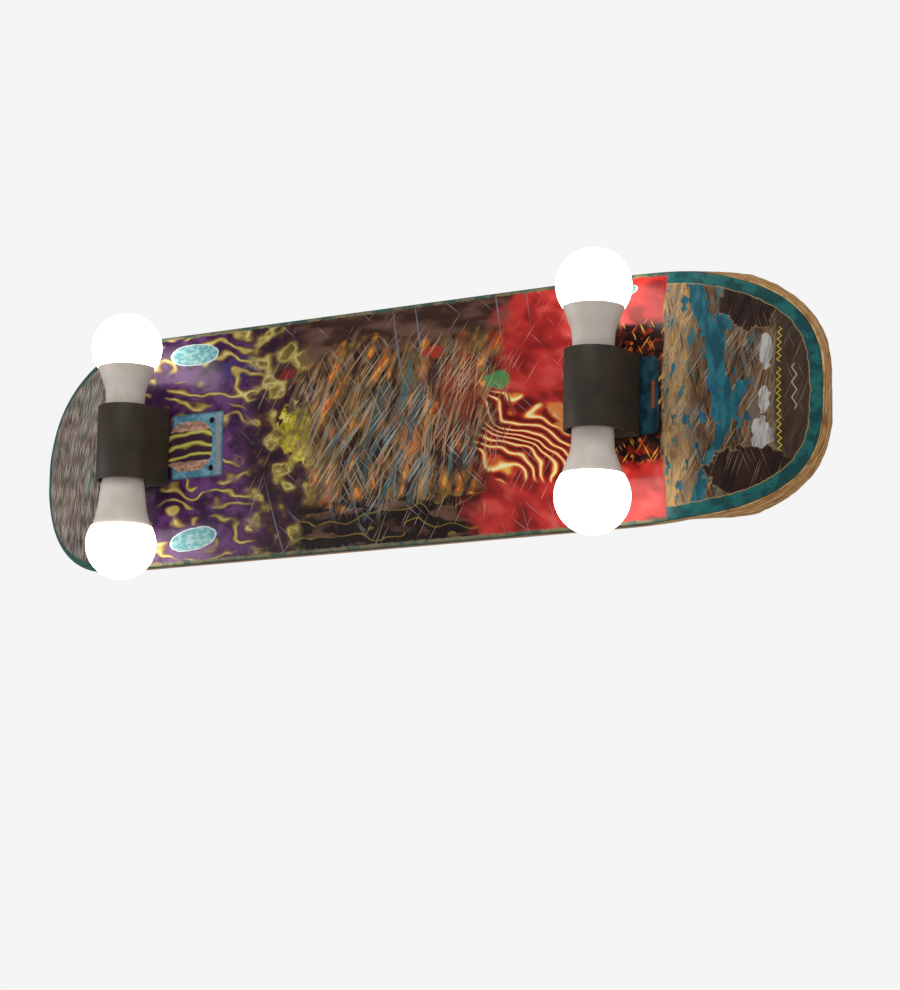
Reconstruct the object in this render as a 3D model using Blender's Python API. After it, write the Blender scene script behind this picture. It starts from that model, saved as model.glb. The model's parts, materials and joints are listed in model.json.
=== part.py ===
"""Wall light made from a worn skateboard deck: two up-and-down bulb housings stand where the trucks
were, and four screw-in LED bulbs take the places of the wheels.

Frame: metres, X along the deck with its tail at +X, Z up, and Y towards the wall. The origin is the
middle of the wall plate's back face. The graphic face of the deck looks along -Y.
"""

import bmesh
import bpy
from math import cos, pi, radians, sin
from mathutils import Matrix, Vector

GAP = 0.0003

# Deck: seven maple plies pressed into a concave board with a kick at each end.
DECK_WIDTH = 0.202
DECK_THICKNESS = 0.011
BOTTOM_PLY = 0.0014
GRIP_THICKNESS = 0.001
CONCAVE_RISE = 0.0094
DECK_FACE_Y = -0.088
KICK_ANGLE = radians(28)
KICK_RADIUS = 0.084
NOSE_START = -0.2473
NOSE_LENGTH = 0.173
NOSE_TAPER = -0.013
NOSE_POWER = 2.56
TAIL_START = 0.2787
TAIL_LENGTH = 0.1216
TAIL_TAPER = -0.0624
TAIL_POWER = 2.83
TAIL_BARE_WOOD = 0.010
ACROSS_STRIPS = 6
BEND_STATIONS = 4
END_STATIONS = 8

# Old truck bolt pattern, still open in the deck.
WHEELBASE_MIDDLE = 0.0157
WHEELBASE = 0.362
TRUCK_HOLE_LONG = 0.054
TRUCK_HOLE_CROSS = 0.0413
TRUCK_HOLE_RADIUS = 0.00275

# Up-and-down housings.
FIXTURE_X = {"left": -0.2318, "right": 0.2318}
BULB_STAND_OFF = 0.0347
BULB_Y = DECK_FACE_Y - BULB_STAND_OFF
HOUSING_RADIUS = 0.0232
HOUSING_HEIGHT = 0.0642
HOUSING_WALL = 0.002
HOUSING_CORNER = 0.003
HOUSING_ARC_STEPS = 18

# Bracket and hollow threaded nipple that clamp a housing to the deck.
BRACKET_THICKNESS = 0.0016
BRACKET_WIDTH = 0.024
BRACKET_REACH = 0.012
BRACKET_DROP = 0.025
NIPPLE_Z = -0.014
NIPPLE_RADIUS = 0.0048
NIPPLE_BORE = 0.0035
NIPPLE_CLEAR = NIPPLE_RADIUS + GAP
NUT_ACROSS_FLATS = 0.014
NUT_THICKNESS = 0.003
FLANGE_RADIUS = 0.010
FLANGE_THICKNESS = 0.0015

# Sockets: heights are measured outwards from the middle of the housing.
SOCKET_RADIUS = 0.017
SOCKET_BOTTOM = 0.0011
SOCKET_FLOOR = 0.0040
SOCKET_TOP = 0.0280
SOCKET_CAVITY = 0.0146
SOCKET_SHELL_OUTER = 0.0142
SOCKET_SHELL_INNER = 0.0136
SOCKET_SHELL_SPAN = (0.0060, 0.0250)
CONTACT_RADIUS = 0.004
CONTACT_SPAN = (0.0043, 0.0047)

# Bulbs: heights are measured from the tip of the screw base towards the globe.
BULB_TIP = 0.0050
GLOBE_RADIUS = 0.0300
GLOBE_WALL = 0.0012
THREAD_PITCH = 0.003629
THREAD_CREST = 0.0131
THREAD_ROOT = 0.0125
SHELL_BORE = 0.0121
SHELL_SPAN = (0.0046, 0.0236)
NECK_RADIUS = SHELL_BORE - GAP
NECK_BORE = 0.0103
NECK_BOTTOM = 0.0180
BODY_BOTTOM = 0.0242
BODY_WALL = 0.0016
BOARD_RADIUS = 0.0205
BOARD_THICKNESS = 0.0016
LIP_RADIUS = 0.0255
BULB_STEPS = 20
BASE_STEPS = 16

# Each kind of bulb: height of the globe's centre, of the joint under the diffuser, and the outer
# line of the plastic body as (radius, height) from its collar to that joint.
WAISTED_BULB = {
    "globe": 0.0786,
    "joint": 0.0616,
    "body": ((0.0154, 0.0242), (0.0164, 0.0256), (0.0168, 0.0363), (0.0184, 0.0455),
             (0.0217, 0.0546), (0.0243, 0.0613)),
}
TAPERED_BULB = {
    "globe": 0.0818,
    "joint": 0.0668,
    "body": ((0.0154, 0.0242), (0.0175, 0.0260), (0.0184, 0.0300), (0.0196, 0.0399),
             (0.0209, 0.0503), (0.0234, 0.0606), (0.0247, 0.0665)),
}
BULBS = {
    "upper_left": ("left", 1, WAISTED_BULB),
    "lower_left": ("left", -1, TAPERED_BULB),
    "upper_right": ("right", 1, WAISTED_BULB),
    "lower_right": ("right", -1, WAISTED_BULB),
}

# Wiring box behind the deck and the plate that it hooks over on the wall.
BOX_HALF_X = 0.060
BOX_HALF_Z = 0.038
BOX_FRONT_Y = -0.074
BOX_BACK_Y = -0.001
BOX_WALL = 0.0015
PLATE_HALF_X = 0.0575
PLATE_HALF_Z = 0.0362
PLATE_THICKNESS = 0.002
LUG_HALF_X = 0.010
LUG_LENGTH = 0.016
LUG_SCREW_Y = -0.011
WALL_SLOT_X = 0.04445
WALL_SLOT_RADIUS = 0.0025
WALL_SLOT_LENGTH = 0.008
CABLE_ENTRY = (0.0, 0.014)
CABLE_ENTRY_RADIUS = 0.011
BOX_SCREW_X = 0.035
BOX_SCREW_TIP_Y = -0.0845
SCREW_HEAD_RADIUS = 0.0037
SCREW_HEAD_HEIGHT = 0.0024
WOOD_SCREW_RADIUS = 0.0016
PLATE_SCREW_RADIUS = 0.0019
TERMINAL_SIZE = (0.032, 0.0145, 0.016)

# Internal leads from each housing to the terminal block.
LEAD_RADIUS = 0.0025
LEAD_BOX_Y = -0.066
LEAD_DECK_Y = -0.0726
LEAD_CLIP_X = 0.150
CLIP_WIDTH = 0.008
CLIP_THICKNESS = 0.0012
CLIP_FOOT = 0.009
CLIP_INNER = LEAD_RADIUS + 0.0005

COLOURS = {
    # name: (red, green, blue), roughness, metallic
    "maple": ((0.55, 0.36, 0.20), 0.60, 0.0),
    "graphic_ply": ((0.30, 0.09, 0.16), 0.25, 0.0),
    "grip": ((0.02, 0.02, 0.02), 0.95, 0.0),
    "bronze_paint": ((0.045, 0.032, 0.025), 0.45, 0.3),
    "zinc_steel": ((0.55, 0.55, 0.52), 0.35, 1.0),
    "brass": ((0.70, 0.52, 0.22), 0.30, 1.0),
    "nickel": ((0.62, 0.62, 0.60), 0.25, 1.0),
    "porcelain": ((0.85, 0.84, 0.80), 0.30, 0.0),
    "diffuser": ((0.95, 0.95, 0.93), 0.35, 0.0),
    "bulb_plastic": ((0.72, 0.69, 0.64), 0.40, 0.0),
    "insulator": ((0.05, 0.05, 0.06), 0.25, 0.0),
    "led_board": ((0.80, 0.80, 0.78), 0.50, 0.0),
    "black_paint": ((0.03, 0.03, 0.03), 0.55, 0.0),
    "terminal": ((0.86, 0.84, 0.78), 0.45, 0.0),
    "lead": ((0.05, 0.05, 0.05), 0.55, 0.0),
}


def clear_scene():
    for obj in list(bpy.data.objects):
        bpy.data.objects.remove(obj, do_unlink=True)


def make_materials():
    made = {}
    for name, (colour, roughness, metallic) in COLOURS.items():
        material = bpy.data.materials.new(name)
        material.use_nodes = True
        shader = material.node_tree.nodes["Principled BSDF"]
        shader.inputs["Base Color"].default_value = (*colour, 1.0)
        shader.inputs["Roughness"].default_value = roughness
        shader.inputs["Metallic"].default_value = metallic
        made[name] = material
    return made


# ---------------------------------------------------------------- general shapes


def object_from(name, mesh_builder, material, smooth=True, parent=None):
    """A named object around the closed mesh that a bmesh holds, its faces turned outwards."""
    bmesh.ops.recalc_face_normals(mesh_builder, faces=mesh_builder.faces)
    mesh = bpy.data.meshes.new(name)
    mesh_builder.to_mesh(mesh)
    mesh_builder.free()
    if smooth:
        mesh.shade_smooth()
        mesh.set_sharp_from_angle(angle=radians(35))
    if material:
        mesh.materials.append(material)
    obj = bpy.data.objects.new(name, mesh)
    bpy.context.scene.collection.objects.link(obj)
    obj.parent = parent
    return obj


def lathe(name, profile, steps, material, parent=None):
    """Solid of revolution about Z of a closed outline of (radius, height) points."""
    built = bmesh.new()
    rings = []
    for radius, height in profile:
        if radius == 0:
            rings.append([built.verts.new((0, 0, height))])
            continue
        angles = (2 * pi * i / steps for i in range(steps))
        rings.append([built.verts.new((radius * cos(a), radius * sin(a), height)) for a in angles])
    for ring, following in zip(rings, rings[1:] + rings[:1]):
        if len(ring) == len(following) == 1:
            continue
        for i in range(steps):
            corners = [ring[i % len(ring)], ring[(i + 1) % len(ring)]]
            corners += [following[(i + 1) % len(following)], following[i % len(following)]]
            built.faces.new(dict.fromkeys(corners))
    return object_from(name, built, material, parent=parent)


def add_prism(built, outline, low, high, axis="Z"):
    """Adds a straight prism of a closed outline of points, extruded along one axis."""
    place = {
        "X": lambda a, b, c: (c, a, b),
        "Y": lambda a, b, c: (a, c, b),
        "Z": lambda a, b, c: (a, b, c),
    }[axis]
    near = [built.verts.new(place(a, b, low)) for a, b in outline]
    far = [built.verts.new(place(a, b, high)) for a, b in outline]
    built.faces.new(near)
    built.faces.new(far)
    for i in range(len(outline)):
        j = (i + 1) % len(outline)
        built.faces.new((near[i], near[j], far[j], far[i]))


def prism(name, outline, low, high, material, axis="Z", smooth=False):
    built = bmesh.new()
    add_prism(built, outline, low, high, axis)
    return object_from(name, built, material, smooth)


def circle(centre, radius, steps, start=0.0):
    angles = (start + 2 * pi * i / steps for i in range(steps))
    return [(centre[0] + radius * cos(a), centre[1] + radius * sin(a)) for a in angles]


def slot(centre, radius, length, steps=6):
    """Outline of a slot that runs along the first axis, with round ends."""
    half = length / 2 - radius
    right = [(centre[0] + half + radius * cos(a), centre[1] + radius * sin(a))
             for a in (-pi / 2 + pi * i / steps for i in range(steps + 1))]
    left = [(2 * centre[0] - x, 2 * centre[1] - z) for x, z in right]
    return right + left


def rectangle(low, high):
    return [(low[0], low[1]), (high[0], low[1]), (high[0], high[1]), (low[0], high[1])]


def as_cutter(obj):
    obj.hide_render = True
    obj.display_type = "WIRE"
    return obj


def boolean(target, tool, operation="DIFFERENCE"):
    modifier = target.modifiers.new(tool.name, "BOOLEAN")
    modifier.operation = operation
    modifier.solver = "EXACT"
    modifier.object = as_cutter(tool)


def drill(target, outlines, low, high, axis="Y"):
    """Cuts holes of the given outlines through a target, along one axis."""
    built = bmesh.new()
    for outline in outlines:
        add_prism(built, outline, low, high, axis)
    boolean(target, object_from(f"{target.name}_holes_{axis}", built, None, smooth=False))


def smooth_route(points, spacing):
    """Points about one spacing apart on a Catmull-Rom curve through a route's own points."""
    route = [Vector(p) for p in points]
    route = [2 * route[0] - route[1]] + route + [2 * route[-1] - route[-2]]
    out = [route[1]]
    for a, b, c, d in zip(route, route[1:], route[2:], route[3:]):
        steps = max(1, round((c - b).length / spacing))
        for i in range(1, steps + 1):
            t = i / steps
            cubic = (3 * b - a - 3 * c + d) * t**3 + (2 * a - 5 * b + 4 * c - d) * t**2
            out.append(0.5 * (cubic + (c - a) * t + 2 * b))
    return out


def tube(name, points, radius, material):
    curve = bpy.data.curves.new(name, "CURVE")
    curve.dimensions = "3D"
    curve.bevel_depth = radius
    curve.bevel_resolution = 2
    curve.use_fill_caps = True
    spline = curve.splines.new("POLY")
    spline.points.add(len(points) - 1)
    for place, point in zip(spline.points, points):
        place.co = (*point, 1.0)
    curve.materials.append(material)
    obj = bpy.data.objects.new(name, curve)
    bpy.context.scene.collection.objects.link(obj)
    return obj


# ---------------------------------------------------------------- deck


def kick(distance):
    """Advance, rise and slope at a distance past the start of a kick."""
    if distance <= 0:
        return distance, 0.0, 0.0
    arc = KICK_RADIUS * KICK_ANGLE
    slope = min(distance, arc) / KICK_RADIUS
    beyond = max(distance - arc, 0.0)
    advance = KICK_RADIUS * sin(slope) + beyond * cos(slope)
    rise = KICK_RADIUS * (1 - cos(slope)) + beyond * sin(slope)
    return advance, rise, slope


def concave(across):
    """Rise of the pressed board towards its rails."""
    return CONCAVE_RISE * (2 * across / DECK_WIDTH) ** 2


def deck_point(along, across, level):
    """Point of the pressed board: along its unrolled length, across it, and above the graphic face."""
    if along > TAIL_START:
        advance, rise, slope = kick(along - TAIL_START)
        x = TAIL_START + advance - level * sin(slope)
    elif along < NOSE_START:
        advance, rise, slope = kick(NOSE_START - along)
        x = NOSE_START - advance + level * sin(slope)
    else:
        x, rise, slope = along, 0.0, 0.0
    return x, DECK_FACE_Y + rise + concave(across) + level * cos(slope), across


def end_stations(taper, length, power):
    """Distances past a kick's start, and the board's half width at each, out to its tip."""
    arc = KICK_RADIUS * KICK_ANGLE
    places = [arc * i / BEND_STATIONS for i in range(BEND_STATIONS + 1)]
    for i in range(1, END_STATIONS + 1):
        swept = radians(87) * i / END_STATIONS
        place = taper + (length - taper) * sin(swept) ** (2 / power)
        if place > arc + 0.004:
            places.append(place)
    if taper < 0:
        places = [taper * (1 - i / 4) for i in range(4)] + places
    half = DECK_WIDTH / 2
    spans = [max(0.0, (place - taper) / (length - taper)) for place in places]
    return [(place, half * (1 - span**power) ** (1 / power)) for place, span in zip(places, spans)]


def deck_stations(bare_wood):
    nose = end_stations(NOSE_TAPER, NOSE_LENGTH, NOSE_POWER)
    tail = end_stations(TAIL_TAPER, TAIL_LENGTH + bare_wood, TAIL_POWER)
    stations = [(NOSE_START - place, width) for place, width in reversed(nose)]
    return stations + [(TAIL_START + place, width) for place, width in tail]


def deck_layer(name, low, high, bare_wood, material):
    built = bmesh.new()
    layers = []
    for level in (low, high):
        layers.append([
            [built.verts.new(deck_point(along, half * (2 * j / ACROSS_STRIPS - 1), level))
             for j in range(ACROSS_STRIPS + 1)]
            for along, half in deck_stations(bare_wood)
        ])
    bottom, top = layers
    last = len(bottom) - 1
    for i in range(last):
        for j in range(ACROSS_STRIPS):
            for grid in layers:
                built.faces.new((grid[i][j], grid[i + 1][j], grid[i + 1][j + 1], grid[i][j + 1]))
        for j in (0, ACROSS_STRIPS):
            built.faces.new((bottom[i][j], bottom[i + 1][j], top[i + 1][j], top[i][j]))
    for j in range(ACROSS_STRIPS):
        for i in (0, last):
            built.faces.new((bottom[i][j], bottom[i][j + 1], top[i][j + 1], top[i][j]))
    return object_from(name, built, material)


def truck_hole_centres():
    for side in (-1, 1):
        inner = WHEELBASE_MIDDLE + side * WHEELBASE / 2
        for x in (inner, inner + side * TRUCK_HOLE_LONG):
            for z in (-TRUCK_HOLE_CROSS / 2, TRUCK_HOLE_CROSS / 2):
                yield x, z


def build_deck(material):
    core_low = BOTTOM_PLY + GAP
    grip_low = DECK_THICKNESS + GAP
    core = deck_layer("deck_core", core_low, DECK_THICKNESS, TAIL_BARE_WOOD, material["maple"])
    ply = deck_layer("bottom_ply", 0.0, BOTTOM_PLY, 0.0, material["graphic_ply"])
    grip_high = grip_low + GRIP_THICKNESS
    grip = deck_layer("grip_tape", grip_low, grip_high, TAIL_BARE_WOOD, material["grip"])
    truck_holes = [circle(centre, TRUCK_HOLE_RADIUS, 10) for centre in truck_hole_centres()]
    nipple_holes = [circle((x, NIPPLE_Z), NIPPLE_CLEAR, 12) for x in FIXTURE_X.values()]
    pilot_radius = WOOD_SCREW_RADIUS + GAP
    pilots = [circle((side * BOX_SCREW_X, 0.0), pilot_radius, 8) for side in (-1, 1)]
    front, back = DECK_FACE_Y - 0.005, DECK_FACE_Y + 0.020
    for layer in (core, ply, grip):
        drill(layer, truck_holes + nipple_holes, front, back)
    for layer in (core, grip):
        pilot_cutter = bmesh.new()
        for outline in pilots:
            add_prism(pilot_cutter, outline, BOX_SCREW_TIP_Y - GAP, back, "Y")
        boolean(layer, object_from(f"{layer.name}_pilots", pilot_cutter, None, smooth=False))


# ---------------------------------------------------------------- housings


def housing_outline(inset):
    """Outline seen from above: half round in front, straight sides, square to the deck behind."""
    radius = HOUSING_RADIUS - inset
    corner = max(HOUSING_CORNER - inset, 0.001)
    back = BULB_STAND_OFF - GAP - inset
    front = [(radius * cos(a), radius * sin(a))
             for a in (pi + pi * i / HOUSING_ARC_STEPS for i in range(HOUSING_ARC_STEPS + 1))]
    right = [(radius - corner + corner * cos(a), back - corner + corner * sin(a))
             for a in (pi / 2 * i / 3 for i in range(4))]
    left = [(-x, y) for x, y in reversed(right)]
    return front + right + left


def build_housing(side, x, material):
    half = HOUSING_HEIGHT / 2
    outline = [(x + a, BULB_Y + b) for a, b in housing_outline(0.0)]
    inner = [(x + a, BULB_Y + b) for a, b in housing_outline(HOUSING_WALL)]
    built = bmesh.new()
    rings = [[built.verts.new((a, b, z)) for a, b in points]
             for points, z in ((outline, -half), (outline, half), (inner, half), (inner, -half))]
    count = len(outline)
    for ring, following in zip(rings, rings[1:] + rings[:1]):
        for i in range(count):
            j = (i + 1) % count
            built.faces.new((ring[i], ring[j], following[j], following[i]))
    housing = object_from(f"housing_{side}", built, material["bronze_paint"])
    hole = circle((x, NIPPLE_Z), NIPPLE_CLEAR, 12)
    drill(housing, [hole], BULB_Y + HOUSING_RADIUS + 0.003, DECK_FACE_Y + 0.001)


def build_bracket(side, x, material):
    """Bent strap: a web between the two sockets, and a leg that the nipple clamps to the housing."""
    back = DECK_FACE_Y - GAP - HOUSING_WALL - GAP
    front = BULB_Y - BRACKET_REACH
    half = BRACKET_THICKNESS / 2
    leg = back - BRACKET_THICKNESS
    outline = [(front, -half), (leg, -half), (leg, -BRACKET_DROP), (back, -BRACKET_DROP)]
    outline += [(back, 0.0), (back - half, half), (front, half)]
    sides = (x - BRACKET_WIDTH / 2, x + BRACKET_WIDTH / 2)
    bracket = prism(f"socket_bracket_{side}", outline, *sides, material["zinc_steel"], axis="X")
    drill(bracket, [circle((x, NIPPLE_Z), NIPPLE_CLEAR, 12)], leg - 0.002, back + 0.002)
    return leg


def ring_prism(name, outer, inner, low, high, material):
    """A plate of even thickness along Y with a hole through it, as a nut has."""
    built = bmesh.new()
    rings = [[built.verts.new((a, y, b)) for a, b in points]
             for points, y in ((outer, low), (outer, high), (inner, high), (inner, low))]
    count = len(outer)
    for ring, following in zip(rings, rings[1:] + rings[:1]):
        for i in range(count):
            j = (i + 1) % count
            built.faces.new((ring[i], ring[j], following[j], following[i]))
    return object_from(name, built, material)


def hexagon(centre, across_flats, per_side=2):
    """Hexagon outline with points on its sides as well, to match a round hole's point count."""
    radius = across_flats / 2 / cos(pi / 6)
    corners = circle(centre, radius, 6)
    out = []
    for (ax, az), (bx, bz) in zip(corners, corners[1:] + corners[:1]):
        out += [(ax + (bx - ax) * i / per_side, az + (bz - az) * i / per_side) for i in range(per_side)]
    return out


def build_nipple(side, x, leg, material):
    """Hollow threaded nipple with its nut in the housing and its flanged nut behind the deck."""
    deck_back = DECK_FACE_Y + DECK_THICKNESS + GAP + GRIP_THICKNESS
    centre = (x, NIPPLE_Z)
    nut_high = leg - GAP
    nut_low = nut_high - NUT_THICKNESS
    flange_low = deck_back + concave(abs(NIPPLE_Z) + FLANGE_RADIUS) + GAP
    nut_back = flange_low + FLANGE_THICKNESS + NUT_THICKNESS
    bore = circle(centre, NIPPLE_BORE, 12)
    outside = circle(centre, NIPPLE_RADIUS, 12)
    ends = (nut_low - 0.001, nut_back + 0.001)
    ring_prism(f"nipple_{side}", outside, bore, *ends, material["brass"])
    clear = circle(centre, NIPPLE_CLEAR, 12)
    hexed = hexagon(centre, NUT_ACROSS_FLATS)
    ring_prism(f"nipple_nut_{side}", hexed, clear, nut_low, nut_high, material["brass"])
    flange = circle(centre, FLANGE_RADIUS, 12)
    steps = ((flange, flange_low), (flange, flange_low + FLANGE_THICKNESS),
             (hexed, flange_low + FLANGE_THICKNESS), (hexed, nut_back), (clear, nut_back), (clear, flange_low))
    built = bmesh.new()
    rings = [[built.verts.new((a, y, b)) for a, b in points] for points, y in steps]
    for ring, following in zip(rings, rings[1:] + rings[:1]):
        for i in range(12):
            j = (i + 1) % 12
            built.faces.new((ring[i], ring[j], following[j], following[i]))
    object_from(f"flange_nut_{side}", built, material["brass"])


# ---------------------------------------------------------------- sockets and bulbs


def axis_empty(name, x, direction):
    """Empty on a bulb's axis at the middle of its housing, its own Z pointing out of the housing."""
    empty = bpy.data.objects.new(name, None)
    bpy.context.scene.collection.objects.link(empty)
    empty.location = (x, BULB_Y, 0.0)
    if direction < 0:
        empty.rotation_euler = (pi, 0.0, 0.0)
    return empty


def build_socket(name, empty, material):
    cup = ((0, SOCKET_BOTTOM), (SOCKET_RADIUS - 0.001, SOCKET_BOTTOM),
           (SOCKET_RADIUS, SOCKET_BOTTOM + 0.001), (SOCKET_RADIUS, SOCKET_TOP),
           (SOCKET_CAVITY, SOCKET_TOP), (SOCKET_CAVITY, SOCKET_FLOOR), (0, SOCKET_FLOOR))
    lathe(f"{name}_socket_body", cup, BASE_STEPS, material["porcelain"], empty)
    low, high = SOCKET_SHELL_SPAN
    shell = ((SOCKET_SHELL_OUTER, low), (SOCKET_SHELL_OUTER, high),
             (SOCKET_SHELL_INNER, high), (SOCKET_SHELL_INNER, low))
    lathe(f"{name}_socket_shell", shell, BASE_STEPS, material["nickel"], empty)
    low, high = CONTACT_SPAN
    contact = ((0, low), (CONTACT_RADIUS, low), (CONTACT_RADIUS, high), (0, high))
    lathe(f"{name}_socket_contact", contact, 12, material["brass"], empty)


def screw_shell_profile():
    """Rolled thread as rounded rings half a pitch apart outside, and a plain bore inside."""
    low, high = SHELL_SPAN
    rings = int((high - low) / (THREAD_PITCH / 2)) - 1
    first = low + (high - low - (rings - 1) * THREAD_PITCH / 2) / 2
    outside = [(THREAD_CREST if i % 2 else THREAD_ROOT, first + i * THREAD_PITCH / 2) for i in range(rings)]
    return [(SHELL_BORE, low), (THREAD_ROOT, low), *outside, (THREAD_ROOT, high), (SHELL_BORE, high)]


def bulb_body_profile(kind):
    """Outer line of the body, the seat for its board, the hollow inside and the neck in the screw shell."""
    outside = list(kind["body"])
    top = outside[-1][1]
    seat = top - BOARD_THICKNESS - 0.0004
    inside = [(radius - BODY_WALL, height) for radius, height in outside[1:-1]]
    inside[0] = (inside[0][0], inside[0][1] + BODY_WALL)
    return [
        (NECK_BORE, NECK_BOTTOM), (NECK_RADIUS, NECK_BOTTOM), (NECK_RADIUS, BODY_BOTTOM),
        *outside,
        (BOARD_RADIUS + 0.0004, top), (BOARD_RADIUS + 0.0004, seat), (BOARD_RADIUS - 0.0015, seat),
        *reversed(inside), (NECK_BORE, BODY_BOTTOM + BODY_WALL),
    ]


def diffuser_profile(kind):
    """Thin globe that is open underneath, with a lip where it meets the body."""
    joint, centre = kind["joint"], kind["globe"]

    def arc(radius, steps, start):
        angles = (start + (pi / 2 - start) * i / steps for i in range(steps + 1))
        return [(radius * cos(a), centre + radius * sin(a)) for a in angles]

    outside = arc(GLOBE_RADIUS, 7, radians(-28))
    inside = arc(GLOBE_RADIUS - GLOBE_WALL, 4, radians(-24))
    rim = [(0.0, outside[-1][1]), (0.0, inside[-1][1])]
    foot = LIP_RADIUS - 0.0016
    return [(foot, joint), (LIP_RADIUS, joint), *outside[:-1], *rim, *reversed(inside[:-1])]


def build_bulb(name, empty, kind, material):
    bulb = bpy.data.objects.new(f"{name}_bulb_base", None)
    bpy.context.scene.collection.objects.link(bulb)
    bulb.parent = empty
    bulb.location = (0.0, 0.0, BULB_TIP)
    tip = ((0, 0.0), (0.0036, 0.0), (0.00475, 0.0008), (0.00475, 0.0018), (0, 0.0018))
    lathe(f"{name}_tip_contact", tip, 12, material["nickel"], bulb)
    cone = ((0, 0.0021), (0.0050, 0.0021), (SHELL_BORE - 2 * GAP, 0.0052), (SHELL_BORE - 2 * GAP, 0.0066),
            (0, 0.0066))
    lathe(f"{name}_base_insulator", cone, 12, material["insulator"], bulb)
    lathe(f"{name}_screw_shell", screw_shell_profile(), BASE_STEPS, material["nickel"], bulb)
    lathe(f"{name}_bulb_body", bulb_body_profile(kind), BULB_STEPS, material["bulb_plastic"], bulb)
    top = kind["body"][-1][1]
    board = ((0, top - BOARD_THICKNESS), (BOARD_RADIUS, top - BOARD_THICKNESS), (BOARD_RADIUS, top), (0, top))
    lathe(f"{name}_led_board", board, BASE_STEPS, material["led_board"], bulb)
    lathe(f"{name}_diffuser", diffuser_profile(kind), BULB_STEPS, material["diffuser"], bulb)


# ---------------------------------------------------------------- back of the light


def build_wiring_box(material):
    outer = rectangle((-BOX_HALF_X, -BOX_HALF_Z), (BOX_HALF_X, BOX_HALF_Z))
    box = prism("wiring_box", outer, BOX_FRONT_Y, BOX_BACK_Y, material["black_paint"], axis="Y")
    inner = rectangle((BOX_WALL - BOX_HALF_X, BOX_WALL - BOX_HALF_Z),
                      (BOX_HALF_X - BOX_WALL, BOX_HALF_Z - BOX_WALL))
    hollow = prism("wiring_box_hollow", inner, BOX_FRONT_Y + BOX_WALL, 0.01, None, axis="Y")
    boolean(box, hollow)
    lead_hole = circle((LEAD_BOX_Y, NIPPLE_Z), LEAD_RADIUS + 0.0005, 10)
    drill(box, [lead_hole], -BOX_HALF_X - 0.01, BOX_HALF_X + 0.01, "X")
    plate_hole = circle((0.0, LUG_SCREW_Y), PLATE_SCREW_RADIUS + GAP, 10)
    drill(box, [plate_hole], -BOX_HALF_Z - 0.01, BOX_HALF_Z + 0.01, "Z")
    wood_holes = [circle((s * BOX_SCREW_X, 0.0), WOOD_SCREW_RADIUS + GAP, 10) for s in (-1, 1)]
    drill(box, wood_holes, BOX_FRONT_Y - 0.005, BOX_FRONT_Y + 0.005, "Y")


def build_wall_plate(material):
    """Flat plate with a lug bent forward at its top and bottom, as one U-shaped strap on a plate."""
    plate_outline = rectangle((-PLATE_HALF_X, -PLATE_HALF_Z), (PLATE_HALF_X, PLATE_HALF_Z))
    plate = prism("wall_plate", plate_outline, -PLATE_THICKNESS, 0.0, material["zinc_steel"], axis="Y")
    lug_tip = -LUG_LENGTH
    inside = PLATE_HALF_Z - PLATE_THICKNESS
    strap = [(-PLATE_THICKNESS / 2, -PLATE_HALF_Z), (lug_tip, -PLATE_HALF_Z), (lug_tip, -inside),
             (-PLATE_THICKNESS, -inside), (-PLATE_THICKNESS, inside), (lug_tip, inside),
             (lug_tip, PLATE_HALF_Z), (-PLATE_THICKNESS / 2, PLATE_HALF_Z)]
    lugs = prism("wall_plate_lugs", strap, -LUG_HALF_X, LUG_HALF_X, None, axis="X")
    boolean(plate, lugs, "UNION")
    openings = [slot((s * WALL_SLOT_X, 0.0), WALL_SLOT_RADIUS, WALL_SLOT_LENGTH) for s in (-1, 1)]
    openings.append(circle(CABLE_ENTRY, CABLE_ENTRY_RADIUS, 20))
    drill(plate, openings, -PLATE_THICKNESS - 0.0005, 0.005, "Y")
    lug_hole = circle((0.0, LUG_SCREW_Y), PLATE_SCREW_RADIUS + GAP, 10)
    drill(plate, [lug_hole], -PLATE_HALF_Z - 0.01, PLATE_HALF_Z + 0.01, "Z")


def screw(name, head_at, direction, shank_radius, shank_length, material):
    """Pan-head screw: its head's seat at a point, and its shank running along a direction."""
    slant = 0.0008
    profile = ((0, -SCREW_HEAD_HEIGHT), (SCREW_HEAD_RADIUS - slant, -SCREW_HEAD_HEIGHT),
               (SCREW_HEAD_RADIUS, -SCREW_HEAD_HEIGHT + slant), (SCREW_HEAD_RADIUS, 0.0),
               (shank_radius, 0.0), (shank_radius, shank_length - shank_radius), (0, shank_length))
    obj = lathe(name, profile, 12, material)
    turn = Vector((0, 0, 1)).rotation_difference(Vector(direction)).to_matrix().to_4x4()
    obj.matrix_world = Matrix.Translation(head_at) @ turn


def build_fasteners(material):
    seat = BOX_FRONT_Y + BOX_WALL + GAP
    for side, sign in (("left", -1), ("right", 1)):
        screw(f"box_screw_{side}", (sign * BOX_SCREW_X, seat, 0.0), (0, -1, 0), WOOD_SCREW_RADIUS,
              seat - BOX_SCREW_TIP_Y - GAP, material["zinc_steel"])
    for side, sign in (("top", 1), ("bottom", -1)):
        screw(f"plate_screw_{side}", (0.0, LUG_SCREW_Y, sign * (BOX_HALF_Z + GAP)), (0, 0, -sign),
              PLATE_SCREW_RADIUS, 0.0075, material["black_paint"])


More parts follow.
